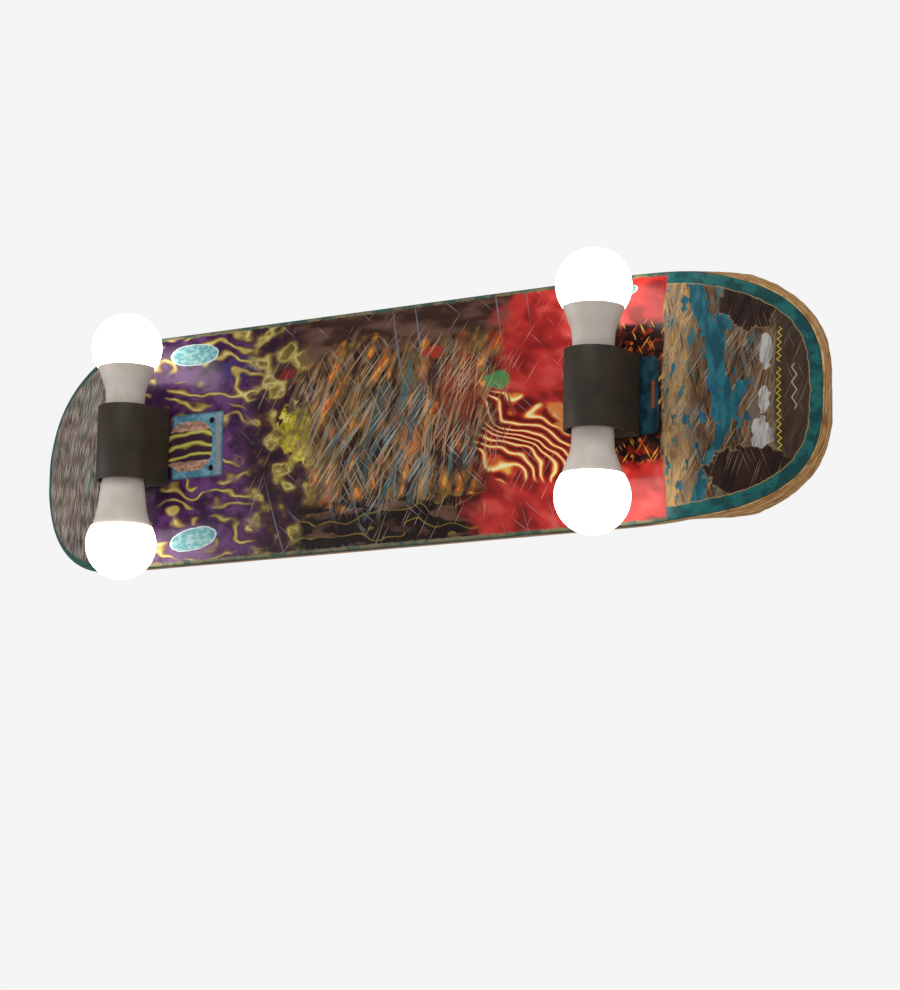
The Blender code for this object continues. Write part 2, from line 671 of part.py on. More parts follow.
def build_terminal_block(material):
    """Moulded block with a raised middle rib and the flat base that it is stuck down by."""
    length, height, depth = TERMINAL_SIZE
    base = BOX_FRONT_Y + BOX_WALL + GAP
    step = height * 0.6
    profile = [(base, -depth / 2), (base, depth / 2), (base + step, depth / 2), (base + step, depth / 4),
               (base + height, depth / 4), (base + height, -depth / 4), (base + step, -depth / 4),
               (base + step, -depth / 2)]
    outline = [(y, NIPPLE_Z + z) for y, z in profile]
    prism("terminal_block", outline, -length / 2, length / 2, material["terminal"], axis="X")


def lead_route(sign):
    """Route of a lead: from its housing through the nipple, along the deck's back, into the box."""
    x = sign * FIXTURE_X["right"]
    deck_back = DECK_FACE_Y + DECK_THICKNESS + GAP + GRIP_THICKNESS
    end = sign * (TERMINAL_SIZE[0] / 2 + GAP)
    places = (
        (x, BULB_Y + 0.021), (x, DECK_FACE_Y), (x, deck_back + 0.007), (x - sign * 0.0035, deck_back + 0.0125),
        (x - sign * 0.014, deck_back + 0.0155), (x - sign * 0.030, deck_back + 0.0125),
        (x - sign * 0.055, LEAD_DECK_Y + 0.0015), (sign * (LEAD_CLIP_X + 0.008), LEAD_DECK_Y),
        (sign * (LEAD_CLIP_X - 0.008), LEAD_DECK_Y), (sign * 0.110, LEAD_DECK_Y + 0.001),
        (sign * 0.078, LEAD_BOX_Y - 0.0007), (sign * (BOX_HALF_X + 0.004), LEAD_BOX_Y),
        (sign * (BOX_HALF_X - 0.006), LEAD_BOX_Y), (end + sign * 0.012, LEAD_BOX_Y), (end, LEAD_BOX_Y),
    )
    return [(a, y, NIPPLE_Z) for a, y in places]


def build_lead(side, sign, material):
    route = smooth_route(lead_route(sign), 0.0065)
    tube(f"lead_{side}", route, LEAD_RADIUS, material["lead"])
    foot = LEAD_DECK_Y - LEAD_RADIUS + GAP
    arch_steps = 6
    outer = CLIP_INNER + CLIP_THICKNESS

    def arch(radius):
        return [(LEAD_DECK_Y + radius * sin(a), NIPPLE_Z + radius * cos(a))
                for a in (pi * i / arch_steps for i in range(arch_steps + 1))]

    over = arch(outer)
    under = arch(CLIP_INNER)
    raised = foot + CLIP_THICKNESS
    outline = [(foot, NIPPLE_Z + CLIP_FOOT), (raised, NIPPLE_Z + CLIP_FOOT), (raised, NIPPLE_Z + outer),
               *over, (raised, NIPPLE_Z - outer), (raised, NIPPLE_Z - CLIP_FOOT), (foot, NIPPLE_Z - CLIP_FOOT),
               (foot, NIPPLE_Z - CLIP_INNER), *reversed(under), (foot, NIPPLE_Z + CLIP_INNER)]
    centre = sign * LEAD_CLIP_X
    prism(f"lead_clip_{side}", outline, centre - CLIP_WIDTH / 2, centre + CLIP_WIDTH / 2,
          material["bulb_plastic"], axis="X")


def build():
    clear_scene()
    material = make_materials()
    build_deck(material)
    for side, x in FIXTURE_X.items():
        build_housing(side, x, material)
        leg = build_bracket(side, x, material)
        build_nipple(side, x, leg, material)
    for name, (side, direction, kind) in BULBS.items():
        empty = axis_empty(f"{name}_axis", FIXTURE_X[side], direction)
        build_socket(name, empty, material)
        build_bulb(name, empty, kind, material)
    build_wiring_box(material)
    build_wall_plate(material)
    build_fasteners(material)
    build_terminal_block(material)
    for side, sign in (("left", -1), ("right", 1)):
        build_lead(side, sign, material)


build()
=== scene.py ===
"""Looks of the skateboard-deck wall light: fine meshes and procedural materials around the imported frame."""

import json
from math import atan2, cos, hypot, pi, radians, sin, sqrt

import bmesh
import bpy
import numpy as np
from mathutils import Matrix, Vector


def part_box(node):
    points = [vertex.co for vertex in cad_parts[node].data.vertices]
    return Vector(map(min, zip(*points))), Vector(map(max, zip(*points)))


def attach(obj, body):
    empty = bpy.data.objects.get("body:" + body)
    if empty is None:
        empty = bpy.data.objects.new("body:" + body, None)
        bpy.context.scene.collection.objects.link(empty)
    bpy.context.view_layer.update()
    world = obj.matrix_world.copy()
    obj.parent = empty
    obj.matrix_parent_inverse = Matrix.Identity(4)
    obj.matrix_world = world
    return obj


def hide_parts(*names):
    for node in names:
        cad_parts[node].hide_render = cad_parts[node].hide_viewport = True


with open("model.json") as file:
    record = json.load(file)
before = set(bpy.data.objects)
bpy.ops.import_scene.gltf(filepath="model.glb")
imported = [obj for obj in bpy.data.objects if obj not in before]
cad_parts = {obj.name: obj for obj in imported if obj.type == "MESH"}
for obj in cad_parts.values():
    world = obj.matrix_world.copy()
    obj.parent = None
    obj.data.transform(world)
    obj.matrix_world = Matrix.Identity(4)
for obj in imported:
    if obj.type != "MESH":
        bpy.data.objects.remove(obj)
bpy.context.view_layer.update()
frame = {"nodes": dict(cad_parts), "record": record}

# ---------------------------------------------------------------- sizes that the frame doesn't name

# Deck: the pressed board's curve, as in the CAD. Its width and face come from the frame.
DECK_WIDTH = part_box("deck_core")[1].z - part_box("deck_core")[0].z
DECK_FACE_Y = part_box("bottom_ply")[0].y
DECK_THICKNESS = 0.011
BOTTOM_PLY = 0.0014
GRIP_LEVELS = (0.0111, 0.0122)
CONCAVE_RISE = 0.0094
KICK_ANGLE = radians(28)
KICK_RADIUS = 0.084
NOSE_START, NOSE_LENGTH, NOSE_TAPER, NOSE_POWER = -0.2473, 0.173, -0.013, 2.56
TAIL_START, TAIL_LENGTH, TAIL_TAPER, TAIL_POWER = 0.2787, 0.1216, -0.0624, 2.83
TAIL_BARE_WOOD = 0.0085
EDGE_ROUND = 0.0024
PAINT_ZONES = (-0.125, 0.005, 0.150)
TRUCK_HOLE_RADIUS = 0.00275
TRUCK_HOLES = [(x, z) for x in (-0.2193, -0.1653, 0.1967, 0.2507) for z in (-0.02065, 0.02065)]
PLY_COUNT = 7
FRONT_ROUND_TOP = 0.0022
BACK_ROUND_START = 0.0088
PLY_STEP = 0.0002
COLUMNS = 44
END_ROWS = 84
MIDDLE_ROWS = 40

# Housings and bulbs.
HOUSING_WALL = 0.002
HOUSING_CORNER = 0.003
BULB_TIP = 0.0050
GLOBE_RADIUS = 0.0300
THREAD_PITCH = 0.003629
THREAD_CREST = 0.0131
THREAD_ROOT = 0.0125
SHELL_BORE = 0.0121
SHELL_SPAN = (0.0046, 0.0236)
SOCKET_SHELL_SPAN = (0.0060, 0.0250)
WAISTED_BULB = {
    "globe": 0.0786,
    "joint": 0.0616,
    "body": ((0.0154, 0.0242), (0.0164, 0.0256), (0.0165, 0.0310), (0.0168, 0.0363), (0.0172, 0.0408),
             (0.0184, 0.0455), (0.0202, 0.0502), (0.0217, 0.0546), (0.0243, 0.0613)),
}
TAPERED_BULB = {
    "globe": 0.0818,
    "joint": 0.0668,
    "body": ((0.0154, 0.0242), (0.0172, 0.0254), (0.0184, 0.0300), (0.0196, 0.0399), (0.0209, 0.0503),
             (0.0222, 0.0560), (0.0234, 0.0606), (0.0247, 0.0665)),
}
BULBS = {
    # name: (1 where it points up and -1 where it points down, kind)
    "upper_left": (1, WAISTED_BULB),
    "lower_left": (-1, TAPERED_BULB),
    "upper_right": (1, WAISTED_BULB),
    "lower_right": (-1, WAISTED_BULB),
}

# Camera and light.
CAMERA_PLACE = (1.46813, -2.23392, -0.51227)
CAMERA_TURN = (99.937, -0.832, 32.785)
CAMERA_LENS = 116.785
LAMP_STRENGTH = 4.5
FLOOR_Z = -1.25
BACKDROP, SURROUNDINGS, MIRRORED = 0.91, 0.55, 0.23
LIGHT_AIM = (0, -0.08, 0)
# name, place, size, watts
LIGHTS = (
    ("key", (0.4, -1.7, 2.2), 1.4, 22.0),
    ("fill", (-1.9, -1.3, -0.4), 1.2, 9.0),
)


# ---------------------------------------------------------------- shader arithmetic


def tint(text):
    """Linear colour of an sRGB hex triplet."""
    parts = [int(text[i:i + 2], 16) / 255 for i in (0, 2, 4)]
    return (*[c / 12.92 if c <= 0.04045 else ((c + 0.055) / 1.055) ** 2.4 for c in parts], 1.0)


class Field:
    """One output of a shader node. Arithmetic on it adds the nodes that work it out.

    plane is the UV map that a plain board coordinate comes from, so that textures can read it directly.
    """

    def __init__(self, tree, socket, plane=None):
        self.tree = tree
        self.socket = socket
        self.plane = plane

    def math(self, operation, *others):
        node = self.tree.nodes.new("ShaderNodeMath")
        node.operation = operation
        for slot, value in zip(node.inputs, (self, *others)):
            feed(self.tree, slot, value)
        return Field(self.tree, node.outputs[0])

    def __add__(self, other):
        return self.math("ADD", other)

    def __sub__(self, other):
        return self.math("SUBTRACT", other)

    def __mul__(self, other):
        return self.math("MULTIPLY", other)

    def __truediv__(self, other):
        return self.math("DIVIDE", other)

    def __abs__(self):
        return self.math("ABSOLUTE")

    def inverse(self):
        return self * -1.0 + 1.0

    def squared(self):
        return self * self

    def least(self, other):
        return self.math("MINIMUM", other)

    def most(self, other):
        return self.math("MAXIMUM", other)

    def wave(self):
        return self.math("SINE")

    def over(self, low, high):
        """0 below low, 1 above high, and smooth between. With low above high it falls instead."""
        node = self.tree.nodes.new("ShaderNodeMapRange")
        node.interpolation_type = "SMOOTHSTEP"
        node.clamp = False
        falls = low > high
        ends = {"From Min": min(low, high), "From Max": max(low, high),
                "To Min": float(falls), "To Max": float(not falls)}
        for name, value in {"Value": self, **ends}.items():
            feed(self.tree, node.inputs[name], value)
        return Field(self.tree, node.outputs[0])

    def band(self, low, high, soft):
        """1 between two values, and 0 outside them."""
        return self.over(low - soft, low + soft) * self.over(high + soft, high - soft)


def feed(tree, socket, value):
    if isinstance(value, Field):
        tree.links.new(value.socket, socket)
    else:
        socket.default_value = value


def separate(tree, socket, kind="XYZ"):
    node = tree.nodes.new(f"ShaderNodeSeparate{kind}")
    tree.links.new(socket, node.inputs[0])
    return [Field(tree, out) for out in node.outputs]


def point(tree, x, y, z):
    node = tree.nodes.new("ShaderNodeCombineXYZ")
    for slot, value in zip(node.inputs, (x, y, z)):
        feed(tree, slot, value)
    return node.outputs[0]


def laid_out(plane, tree, size_x, size_y, angle, shift):
    """Board coordinates turned by an angle, then measured in sizes given in millimetres."""
    node = tree.nodes.new("ShaderNodeMapping")
    node.vector_type = "TEXTURE"
    tree.links.new(plane, node.inputs["Vector"])
    node.inputs["Location"].default_value = shift
    node.inputs["Rotation"].default_value = (0.0, 0.0, radians(angle))
    node.inputs["Scale"].default_value = (size_x / 1000, size_y / 1000, 1.0)
    return node.outputs[0]


def noise(x, y, size_x, size_y, seed, detail=2.0, rough=0.5, z=None, angle=0.0):
    """Cloudy noise around 0.5, with its own size along each direction."""
    tree = x.tree
    node = tree.nodes.new("ShaderNodeTexNoise")
    if x.plane and z is None:
        place = laid_out(x.plane, tree, size_x, size_y, angle, (0.0, 0.0, -seed))
    else:
        place = point(tree, x / size_x, y / size_y, seed if z is None else z)
    tree.links.new(place, node.inputs["Vector"])
    node.inputs["Scale"].default_value = 1.0
    node.inputs["Detail"].default_value = detail
    node.inputs["Roughness"].default_value = rough
    return Field(tree, node.outputs[0])


def strokes(u, angle, length, width, share, seed):
    """Pointed scratches that lie along one angle: (1 on a scratch, a random number for each one)."""
    tree = u.tree
    node = tree.nodes.new("ShaderNodeTexVoronoi")
    node.voronoi_dimensions = "2D"
    node.distance = "MANHATTAN"
    place = laid_out(u.plane, tree, length, width, angle, (seed * 0.037, seed * 0.053, 0.0))
    tree.links.new(place, node.inputs["Vector"])
    node.inputs["Scale"].default_value = 1.0
    random = separate(tree, node.outputs["Color"], "Color")
    reach = random[1] * 0.35 + 0.22
    mask = (reach - Field(tree, node.outputs["Distance"])).over(0.0, 0.06)
    return mask * random[0].over(share + 0.001, share - 0.001), random[2]


def mix(under, over, share):
    """Colour `over` laid on colour `under`."""
    tree = next(v.tree for v in (share, under, over) if isinstance(v, Field))
    node = tree.nodes.new("ShaderNodeMix")
    node.data_type = "RGBA"
    feed(tree, node.inputs["Factor"], share)
    feed(tree, node.inputs[6], under if isinstance(under, Field) else tint(under))
    feed(tree, node.inputs[7], over if isinstance(over, Field) else tint(over))
    return Field(tree, node.outputs[2])


def layers(colour, *coats):
    """Colour with each (hue, share) coat laid on it in turn."""
    for hue, share in coats:
        colour = mix(colour, hue, share)
    return colour


def new_material(name, roughness=0.5, metallic=0.0, **sockets):
    """A material and its tree, with the settings that are the same all over set on the shader itself."""
    material = bpy.data.materials.new(name)
    material.use_nodes = True
    shader = material.node_tree.nodes["Principled BSDF"]
    shader.inputs["Roughness"].default_value = roughness
    shader.inputs["Metallic"].default_value = metallic
    for key, value in sockets.items():
        shader.inputs[key.replace("_", " ")].default_value = value
    return material, material.node_tree


def finish_material(tree, colour=None, roughness=None, height=None, relief=0.0002):
    shader = tree.nodes["Principled BSDF"]
    if colour is not None:
        feed(tree, shader.inputs["Base Color"], colour if isinstance(colour, Field) else tint(colour))
    if roughness is not None:
        feed(tree, shader.inputs["Roughness"], roughness)
    if height is not None:
        bump = tree.nodes.new("ShaderNodeBump")
        bump.inputs["Distance"].default_value = relief
        feed(tree, bump.inputs["Height"], height)
        tree.links.new(bump.outputs[0], shader.inputs["Normal"])


def object_place(tree):
    """The three coordinates of a surface point in its own object, in millimetres."""
    node = tree.nodes.new("ShaderNodeTexCoord")
    return [axis * 1000.0 for axis in separate(tree, node.outputs["Object"])]


def board_place(tree):
    """Along, across, distance from the outline, and level above the printed face, in millimetres."""
    found = []
    for layer in ("board", "edge"):
        node = tree.nodes.new("ShaderNodeUVMap")
        node.uv_map = layer
        found += [axis * 1000.0 for axis in separate(tree, node.outputs[0])[:2]]
        if layer == "board":
            for axis in found:
                axis.plane = node.outputs[0]
    return found


# ---------------------------------------------------------------- deck paint


def blot(u, v, centre, size, seed, rag=1.0):
    """A ragged patch about a centre, 1 inside it."""
    du = (u - centre[0]) / size[0]
    dv = (v - centre[1]) / size[1]
    ragged = (noise(u, v, 9, 9, seed, 3.0, 0.6) - 0.5) * 1.6 * rag
    reach = (du.squared() + dv.squared()).math("SQRT") + ragged
    return reach.over(1.05, 0.92)


def streak(u, v, start, end, half_width, ragged):
    """A worn stripe between two points: 1 inside it."""
    along, across = end[0] - start[0], end[1] - start[1]
    length = hypot(along, across)
    place = (u - start[0]) * (along / length) + (v - start[1]) * (across / length)
    aside = (v - start[1]) * (along / length) - (u - start[0]) * (across / length)
    over = abs(place - length / 2) - length / 2
    return (abs(aside).most(over) + ragged).over(half_width + 0.4, half_width - 0.4)


def paint_purple(u, v):
    """Violet ground with long wavy gold locks, browner towards the middle."""
    big = noise(u, v, 60, 40, 1.3, 1.0)
    soft = noise(u, v, 24, 17, 2.1, 1.0)
    mottle = noise(u, v, 12, 11, 3.9, 3.0)
    ground = mix("32163a", "643a70", (mottle * 0.5 + big * 0.5).over(0.40, 0.60))
    ground = mix(ground, "352b6a", blot(u, v, (-138, 64), (20, 13), 4.1) * 0.7)
    browner = (u + (soft - 0.5) * 70).over(-150, -112) * mottle.over(0.40, 0.60)
    ground = mix(ground, "47282e", browner * 0.85)
    flow = v + (big - 0.5) * 80.0 + (soft - 0.5) * 30.0
    lock = (flow * (2 * pi / 15.5)).wave()
    broken = noise(u, v, 34, 18, 5.2, 1.0).over(0.43, 0.58)
    colour = mix(ground, "55382f", lock.over(-0.4, 0.4) * broken)
    return layers(
        colour,
        ("8a7038", lock.over(0.15, 0.75) * broken),
        ("ad9750", lock.over(0.66, 0.95) * broken),
        ("d0c482", lock.over(0.93, 1.0) * broken * mottle.over(0.44, 0.56)),
        ("24102c", lock.band(-0.60, -0.35, 0.15) * broken * 0.7))


def paint_blotches(u, v):
    """Yellow-olive patches on dark maroon, between the violet and the scratched middle."""
    patch = noise(u, v, 24, 19, 8.2, 1.5)
    inner = noise(u, v, 8, 6, 9.4, 2.0)
    colour = mix("3c1c34", "4c3026", inner.over(0.40, 0.60))
    colour = mix(colour, "271521", patch.over(0.48, 0.38) * 0.9)
    fold = ((patch + (inner - 0.5) * 0.30) * 24.0).wave()
    colour = layers(
        colour,
        ("6e5e2e", patch.over(0.49, 0.56)),
        ("9a8740", fold.over(-0.4, 0.8) * patch.over(0.51, 0.58)),
        ("c7b97c", fold.over(0.75, 1.0) * patch.over(0.54, 0.62) * 0.8))
    bright = blot(u, v, (-74, 2), (21, 25), 10.3)
    return layers(
        colour,
        (mix("a99a24", "7d701c", inner.over(0.52, 0.62)), bright),
        ("d4c856", bright * inner.over(0.44, 0.34)),
        ("84221f", blot(u, v, (-88, 52), (9, 5), 10.9, 1.6) * 0.8))


def paint_middle(u, v):
    """Brown glossy ground with orange, olive and dark glimpses of the print."""
    cloud = noise(u, v, 40, 14, 11.1, 3.0)
    glimpse = noise(u, v, 20, 8, 12.6, 3.0, angle=68)
    colour = mix("3a221b", "66493d", cloud.over(0.40, 0.64))
    middle = (abs(v) + (cloud - 0.5) * 50.0).over(74, 60)
    colour = layers(
        colour,
        (mix("2c1810", "6b4c2a", glimpse.over(0.38, 0.50)), middle * 0.9),
        ("7c6a34", glimpse.over(0.51, 0.57) * middle),
        ("b04a18", glimpse.over(0.56, 0.61) * middle),
        ("d8912f", glimpse.over(0.61, 0.67) * middle),
        ("a03320", blot(u, v, (60, 56), (11, 6), 15.1, 1.6) * 0.9),
        ("bb6a2a", blot(u, v, (38, -8), (7, 30), 15.5, 1.5) * 0.85),
        ("7a2a1c", blot(u, v, (84, 14), (24, 40), 15.8, 1.5) * 0.8))
    low = v.over(-54, -66) * noise(u, v, 30, 9, 13.2).over(0.38, 0.46)
    colour = mix(colour, "180a06", low)
    bend = v + (noise(u, v, 34, 26, 14.4, 1.0) - 0.5) * 46.0
    curl = (bend * (2 * pi / 15.0)).wave()
    return mix(colour, "7d6526", curl.over(0.90, 0.98) * low * 0.9)


def paint_red(u, v):
    """Red ground with curving cream and orange tongues low on its left."""
    cloud = noise(u, v, 38, 28, 21.3, 2.0)
    folds = noise(u, v, 26, 15, 21.9, 1.0, angle=-25)
    colour = mix("971f1d", "bb2f2a", cloud.over(0.38, 0.62))
    colour = mix(colour, "cf4a42", folds.over(0.52, 0.70) * 0.7)
    colour = mix(colour, "701614", folds.over(0.46, 0.30) * 0.8)
    bend = noise(u, v, 56, 40, 22.8, 0.0)
    swirl = v * 0.86 + u * 0.46 + (bend - 0.5) * 70.0 + (noise(u, v, 17, 13, 23.1, 0.0) - 0.5) * 12.0
    tongue = (swirl * (2 * pi / 8.6)).wave()
    around = ((u - 142) / 52).squared() + ((v + 24 + (u - 142) * 0.25) / 36).squared()
    here = (around + (cloud - 0.5) * 1.4).over(1.15, 0.75)
    colour = layers(
        colour,
        ("571008", tongue.over(-0.1, -0.7) * here * 0.9),
        ("c4531c", tongue.over(0.0, 0.45) * here),
        ("e9a548", tongue.over(0.45, 0.80) * here),
        ("f4e3a8", tongue.over(0.80, 0.98) * here))
    glow = blot(u, v, (196, -4), (26, 17), 24.4) * folds.over(0.46, 0.56)
    return mix(colour, "d98a3c", glow * 0.8)


def paint_dark(u, v, colour):
    """Near-black brown panel with orange sparks around the right housing."""
    here = u.over(196, 214) * (abs(v - 4.0) + (noise(u, v, 20, 12, 31.0) - 0.5) * 14.0).over(58, 53)
    panel = mix("1c100e", "3c1f19", noise(u, v, 12, 10, 32.2, 3.0).over(0.46, 0.60))
    panel = mix(panel, "7c2318", noise(u, v, 10, 8, 32.9, 2.0).over(0.58, 0.63))
    spark = strokes(u, 52, 17, 2.2, 0.28, 33.0)
    panel = mix(panel, "b84a20", spark[0])
    panel = mix(panel, "e09a35", spark[0] * spark[1].over(0.5, 0.6))
    other = strokes(u, 118, 15, 1.8, 0.20, 33.7)
    panel = mix(panel, mix("c8601f", "e6b24c", other[1]), other[0])
    curl = noise(u, v, 7, 9, 34.4, 2.0)
    panel = mix(panel, "c9702c", curl.over(0.64, 0.68))
    return mix(colour, panel, here)


def wood_fibre(u, v, angle, dark, light):
    """Torn wood: fibres along one angle, from dark to light."""
    fibre = noise(u, v, 22, 0.9, 41.0, 4.0, 0.62, angle=angle)
    broad = noise(u, v, 26, 5.5, 42.5, 3.0, angle=angle)
    value = fibre * 0.55 + broad * 0.45
    return mix(dark, light, value.over(0.38, 0.62)), value


# colour, angle, length, width, share, seed
TAIL_STROKES = (
    ("9b8566", 76, 38, 2.2, 0.26, 46.1),
    ("2a1b15", 104, 30, 2.0, 0.26, 46.5),
    ("bda98c", 58, 34, 0.9, 0.22, 46.9),
)
NOSE_STROKES = (
    ("b9aa9c", 68, 24, 1.2, 0.45, 64.0),
    ("54443a", 60, 20, 1.6, 0.40, 64.4),
    ("cdc2b6", 84, 18, 0.9, 0.40, 64.8),
)


def paint_tail(u, v, rim):
    """Teal-dyed ply torn down to brown wood, hollows of dark torn wood deepened with painted shade, chips,
    zigzags and a plain teal rim.
    """
    wood, value = wood_fibre(u, v, 80, "2e1d14", "836040")
    tan = mix("94734a", "c2a06c", value.over(0.42, 0.58))
    wood = layers(
        wood,
        (tan, (u + (value - 0.5) * 24).over(302, 290) * 0.85),
        ("6e4a2c", noise(u, v, 5, 12, 43.7, 4.0, 0.65).over(0.54, 0.62) * 0.7),
        ("c8973f", noise(u, v, 2.0, 22, 43.3, 2.0).over(0.60, 0.68) * u.over(316, 296) * 0.9),
        ("6f675c", noise(u, v, 8, 22, 44.1, 3.0).over(0.50, 0.60) * 0.7))
    wood = layers(wood, *[(hue, strokes(u, *row)[0] * 0.75) for hue, *row in TAIL_STROKES])
    ragged = (noise(u, v, 6, 17, 47.7, 4.0, 0.62) - 0.5) * 15.0
    teal = streak(u, v, (294, 98), (314, 34), 5.5, ragged)
    teal = teal.most(streak(u, v, (316, 48), (322, -16), 7.5, ragged))
    teal = teal.most(streak(u, v, (338, 4), (298, -86), 3.8, ragged * 0.6))
    teal = teal.most(streak(u, v, (320, 84), (324, 52), 3.6, ragged * 0.5))
    teal = teal.most(noise(u, v, 7, 16, 48.0, 4.0, 0.6).over(0.575, 0.595) * u.over(352, 340))
    dye = mix("15505f", "27727f", noise(u, v, 7, 24, 45.2, 3.0).over(0.40, 0.60))
    dye = mix(dye, "22497c", blot(u, v, (306, -6), (10, 17), 46.6) * 0.6)
    colour = mix(wood, dye, teal)
    # Hollows, and the tip past about 360 mm: dark torn wood made near-black as painted shade of recesses that
    # the mesh doesn't carve.
    shaded_pit, _ = wood_fibre(u, v, 74, "100805", "3c2117")
    shaded_pit = mix(shaded_pit, "9c826a", strokes(u, 68, 34, 0.8, 0.10, 48.6)[0] * 0.6)
    shaded_pit = mix(shaded_pit, "84705c", strokes(u, 112, 24, 0.9, 0.07, 48.7)[0] * 0.6)
    hollow = blot(u, v, (341, 70), (23, 21), 48.2, 0.6).most(blot(u, v, (344, -64), (36, 21), 48.9, 0.6))
    hollow = hollow.most((u + (value - 0.5) * 30).over(358, 364) * 0.85)
    colour = mix(colour, "b59a70", (hollow * 2.0).math("PINGPONG", 1.0) * 0.8)
    # Painted shade: the hollows take the near-black wood.
    colour = mix(colour, shaded_pit, hollow)
    chip = blot(u, v, (356, 31), (5.5, 13), 49.1, 1.2).most(blot(u, v, (355, -8), (5, 9), 49.4, 1.2))
    chip = chip.most(blot(u, v, (352, -34), (8, 12), 49.7, 1.2))
    colour = mix(colour, mix("8f8a86", "c4beb8", value.over(0.45, 0.55)), chip)
    zigzag = abs((v / 5.4).math("FRACT") - 0.5) * 6.0
    line = abs(u - 364.5 - zigzag).over(0.85, 0.40) * abs(v - 1.0).over(50, 48)
    colour = mix(colour, "c2b02a", line * abs(v - 20.0).over(1.5, 3.0))
    pale = abs((v / 12.0).math("FRACT") - 0.5) * 8.0
    colour = mix(colour, "b7a795", abs(u - 376.0 - pale).over(0.7, 0.3) * abs(v - 3.0).over(19, 17))
    edge = rim + (noise(u, v, 9, 9, 50.0, 2.0) - 0.5) * 3.0
    rim_teal = mix("124b4d", "1d6a68", noise(u, v, 14, 14, 51.0, 3.0).over(0.42, 0.58))
    rim_teal = mix(rim_teal, "0d2f30", noise(u, v, 3, 3, 52.0, 3.0).over(0.62, 0.70))
    border = edge.over(10.2, 9.4)
    colour = mix(colour, "a58c5e", edge.band(9.9, 10.8, 0.3) * 0.8)
    colour = mix(colour, rim_teal, border)
    return colour, (teal.inverse().most(hollow)) * border.inverse()


def paint_nose(u, v, rim):
    """Scraped taupe and pinkish wood under fine scratches, with a teal rim."""
    wood, _ = wood_fibre(u, v, 66, "3f342e", "8f8176")
    wood = layers(
        wood,
        ("7d605a", noise(u, v, 22, 26, 61.0, 3.0).over(0.50, 0.60) * 0.6),
        ("3a221d", noise(u, v, 11, 18, 62.2, 4.0, 0.6).over(0.55, 0.63) * 0.85),
        ("5b7a70", noise(u, v, 10, 40, 63.6, 3.0).over(0.56, 0.66) * 0.75))
    wood = layers(wood, *[(hue, strokes(u, *row)[0] * 0.75) for hue, *row in NOSE_STROKES])
    edge = rim + (noise(u, v, 9, 9, 65.0, 3.0) - 0.5) * 4.0
    colour = mix(wood, "245a54", edge.over(6.4, 5.2) * 0.95)
    return mix(colour, "123a35", edge.over(6.4, 5.2) * noise(u, v, 4, 4, 66.0, 2.0).over(0.56, 0.62))


def box_distance(u, v, centre, half, corner):
    """Distance from the edge of a rounded rectangle, negative inside it."""
    du = abs(u - centre[0]) - (half[0] - corner)
    dv = abs(v - centre[1]) - (half[1] - corner)
    outside = (du.most(0.0).squared() + dv.most(0.0).squared()).math("SQRT")
    return outside + du.most(dv).least(0.0) - corner


WHEEL_MARKS = {
    # side: (centre, half size, tilt)
    "left": (((-190.0, 81.5), (25.0, 9.5), -0.05), ((-186.0, -80.0), (24.0, 9.0), 0.12)),
    "right": (((236.0, 88.0), (11.0, 4.5), 0.1),),
}


def paint_wheel_marks(u, v, side, colour):
    """Pale patches with a white border, rubbed through the print by the old wheels."""
    for where, size, tilt in WHEEL_MARKS[side]:
        du = (u - where[0]) / size[0]
        dv = (v - where[1] - (u - where[0]) * tilt) / size[1]
        ring = abs(du).math("POWER", 2.4) + abs(dv).math("POWER", 2.0)
        ring = ring + (noise(u, v, 6, 6, 76.0) - 0.5) * 0.35
        colour = mix(colour, "c3ccd0", ring.over(1.16, 1.06))
        patch = mix("4a8e97", "86b0ae", noise(u, v, 6, 4, 77.0, 3.0).over(0.42, 0.60))
        colour = mix(colour, patch, ring.over(0.98, 0.90))
    return colour


def paint_left_imprint(u, v, colour):
    """Mark of the old truck's base: a teal frame around a patch of the print and rubbed wood."""
    rough = (noise(u, v, 5, 5, 71.0, 3.0) - 0.5) * 1.6
    frame_line = box_distance(u, v, (-180.0, 0.0), (27.0, 28.0), 2.5)
    plate = mix("46788e", "6c9cad", noise(u, v, 7, 7, 72.0, 3.0).over(0.42, 0.60))
    plate = mix(plate, "8f8a86", u.band(-160.5, -155.5, 0.6) * 0.85)
    plate = mix(plate, "35606f", frame_line.over(-1.6, -0.9) * 0.8)
    colour = mix(colour, plate, frame_line.over(0.3, -0.3))
    window = box_distance(u, v, (-188.0, 0.0), (24.0, 21.5), 17.0) + rough
    arc = v + (u + 185.0).squared() * 0.0075 + (noise(u, v, 20, 12, 73.0, 1.0) - 0.5) * 10.0
    fold = (arc * 0.66).wave()
    inside = mix("3c2138", "8d8438", fold.over(-0.1, 0.6))
    inside = mix(inside, "c9c05c", fold.over(0.6, 0.95))
    pink = mix("8f6c58", "c79a86", noise(u, v, 5.5, 4.0, 74.0, 2.0).over(0.38, 0.62))
    inside = mix(inside, pink, (abs(v) + rough * 2.0).over(12.5, 14.0))
    return mix(colour, inside, window.over(0.4, -0.4)), frame_line.over(0.3, -0.3)


def paint_right_imprint(u, v, colour):
    """Mark of the other truck's base: a dark teal plate with a narrow slot."""
    plate = box_distance(u, v, (245.0, 0.0), (25.5, 31.0), 7.0)
    dark = mix("142f3c", "224c5b", noise(u, v, 9, 14, 75.0, 3.0).over(0.40, 0.60))
    slot = box_distance(u, v, (265.5, 0.0), (1.4, 11.0), 1.0)
    dark = mix(dark, "9c4a26", slot.over(0.3, -0.3))
    return mix(colour, dark, plate.over(0.3, -0.3)), plate.over(0.3, -0.3)


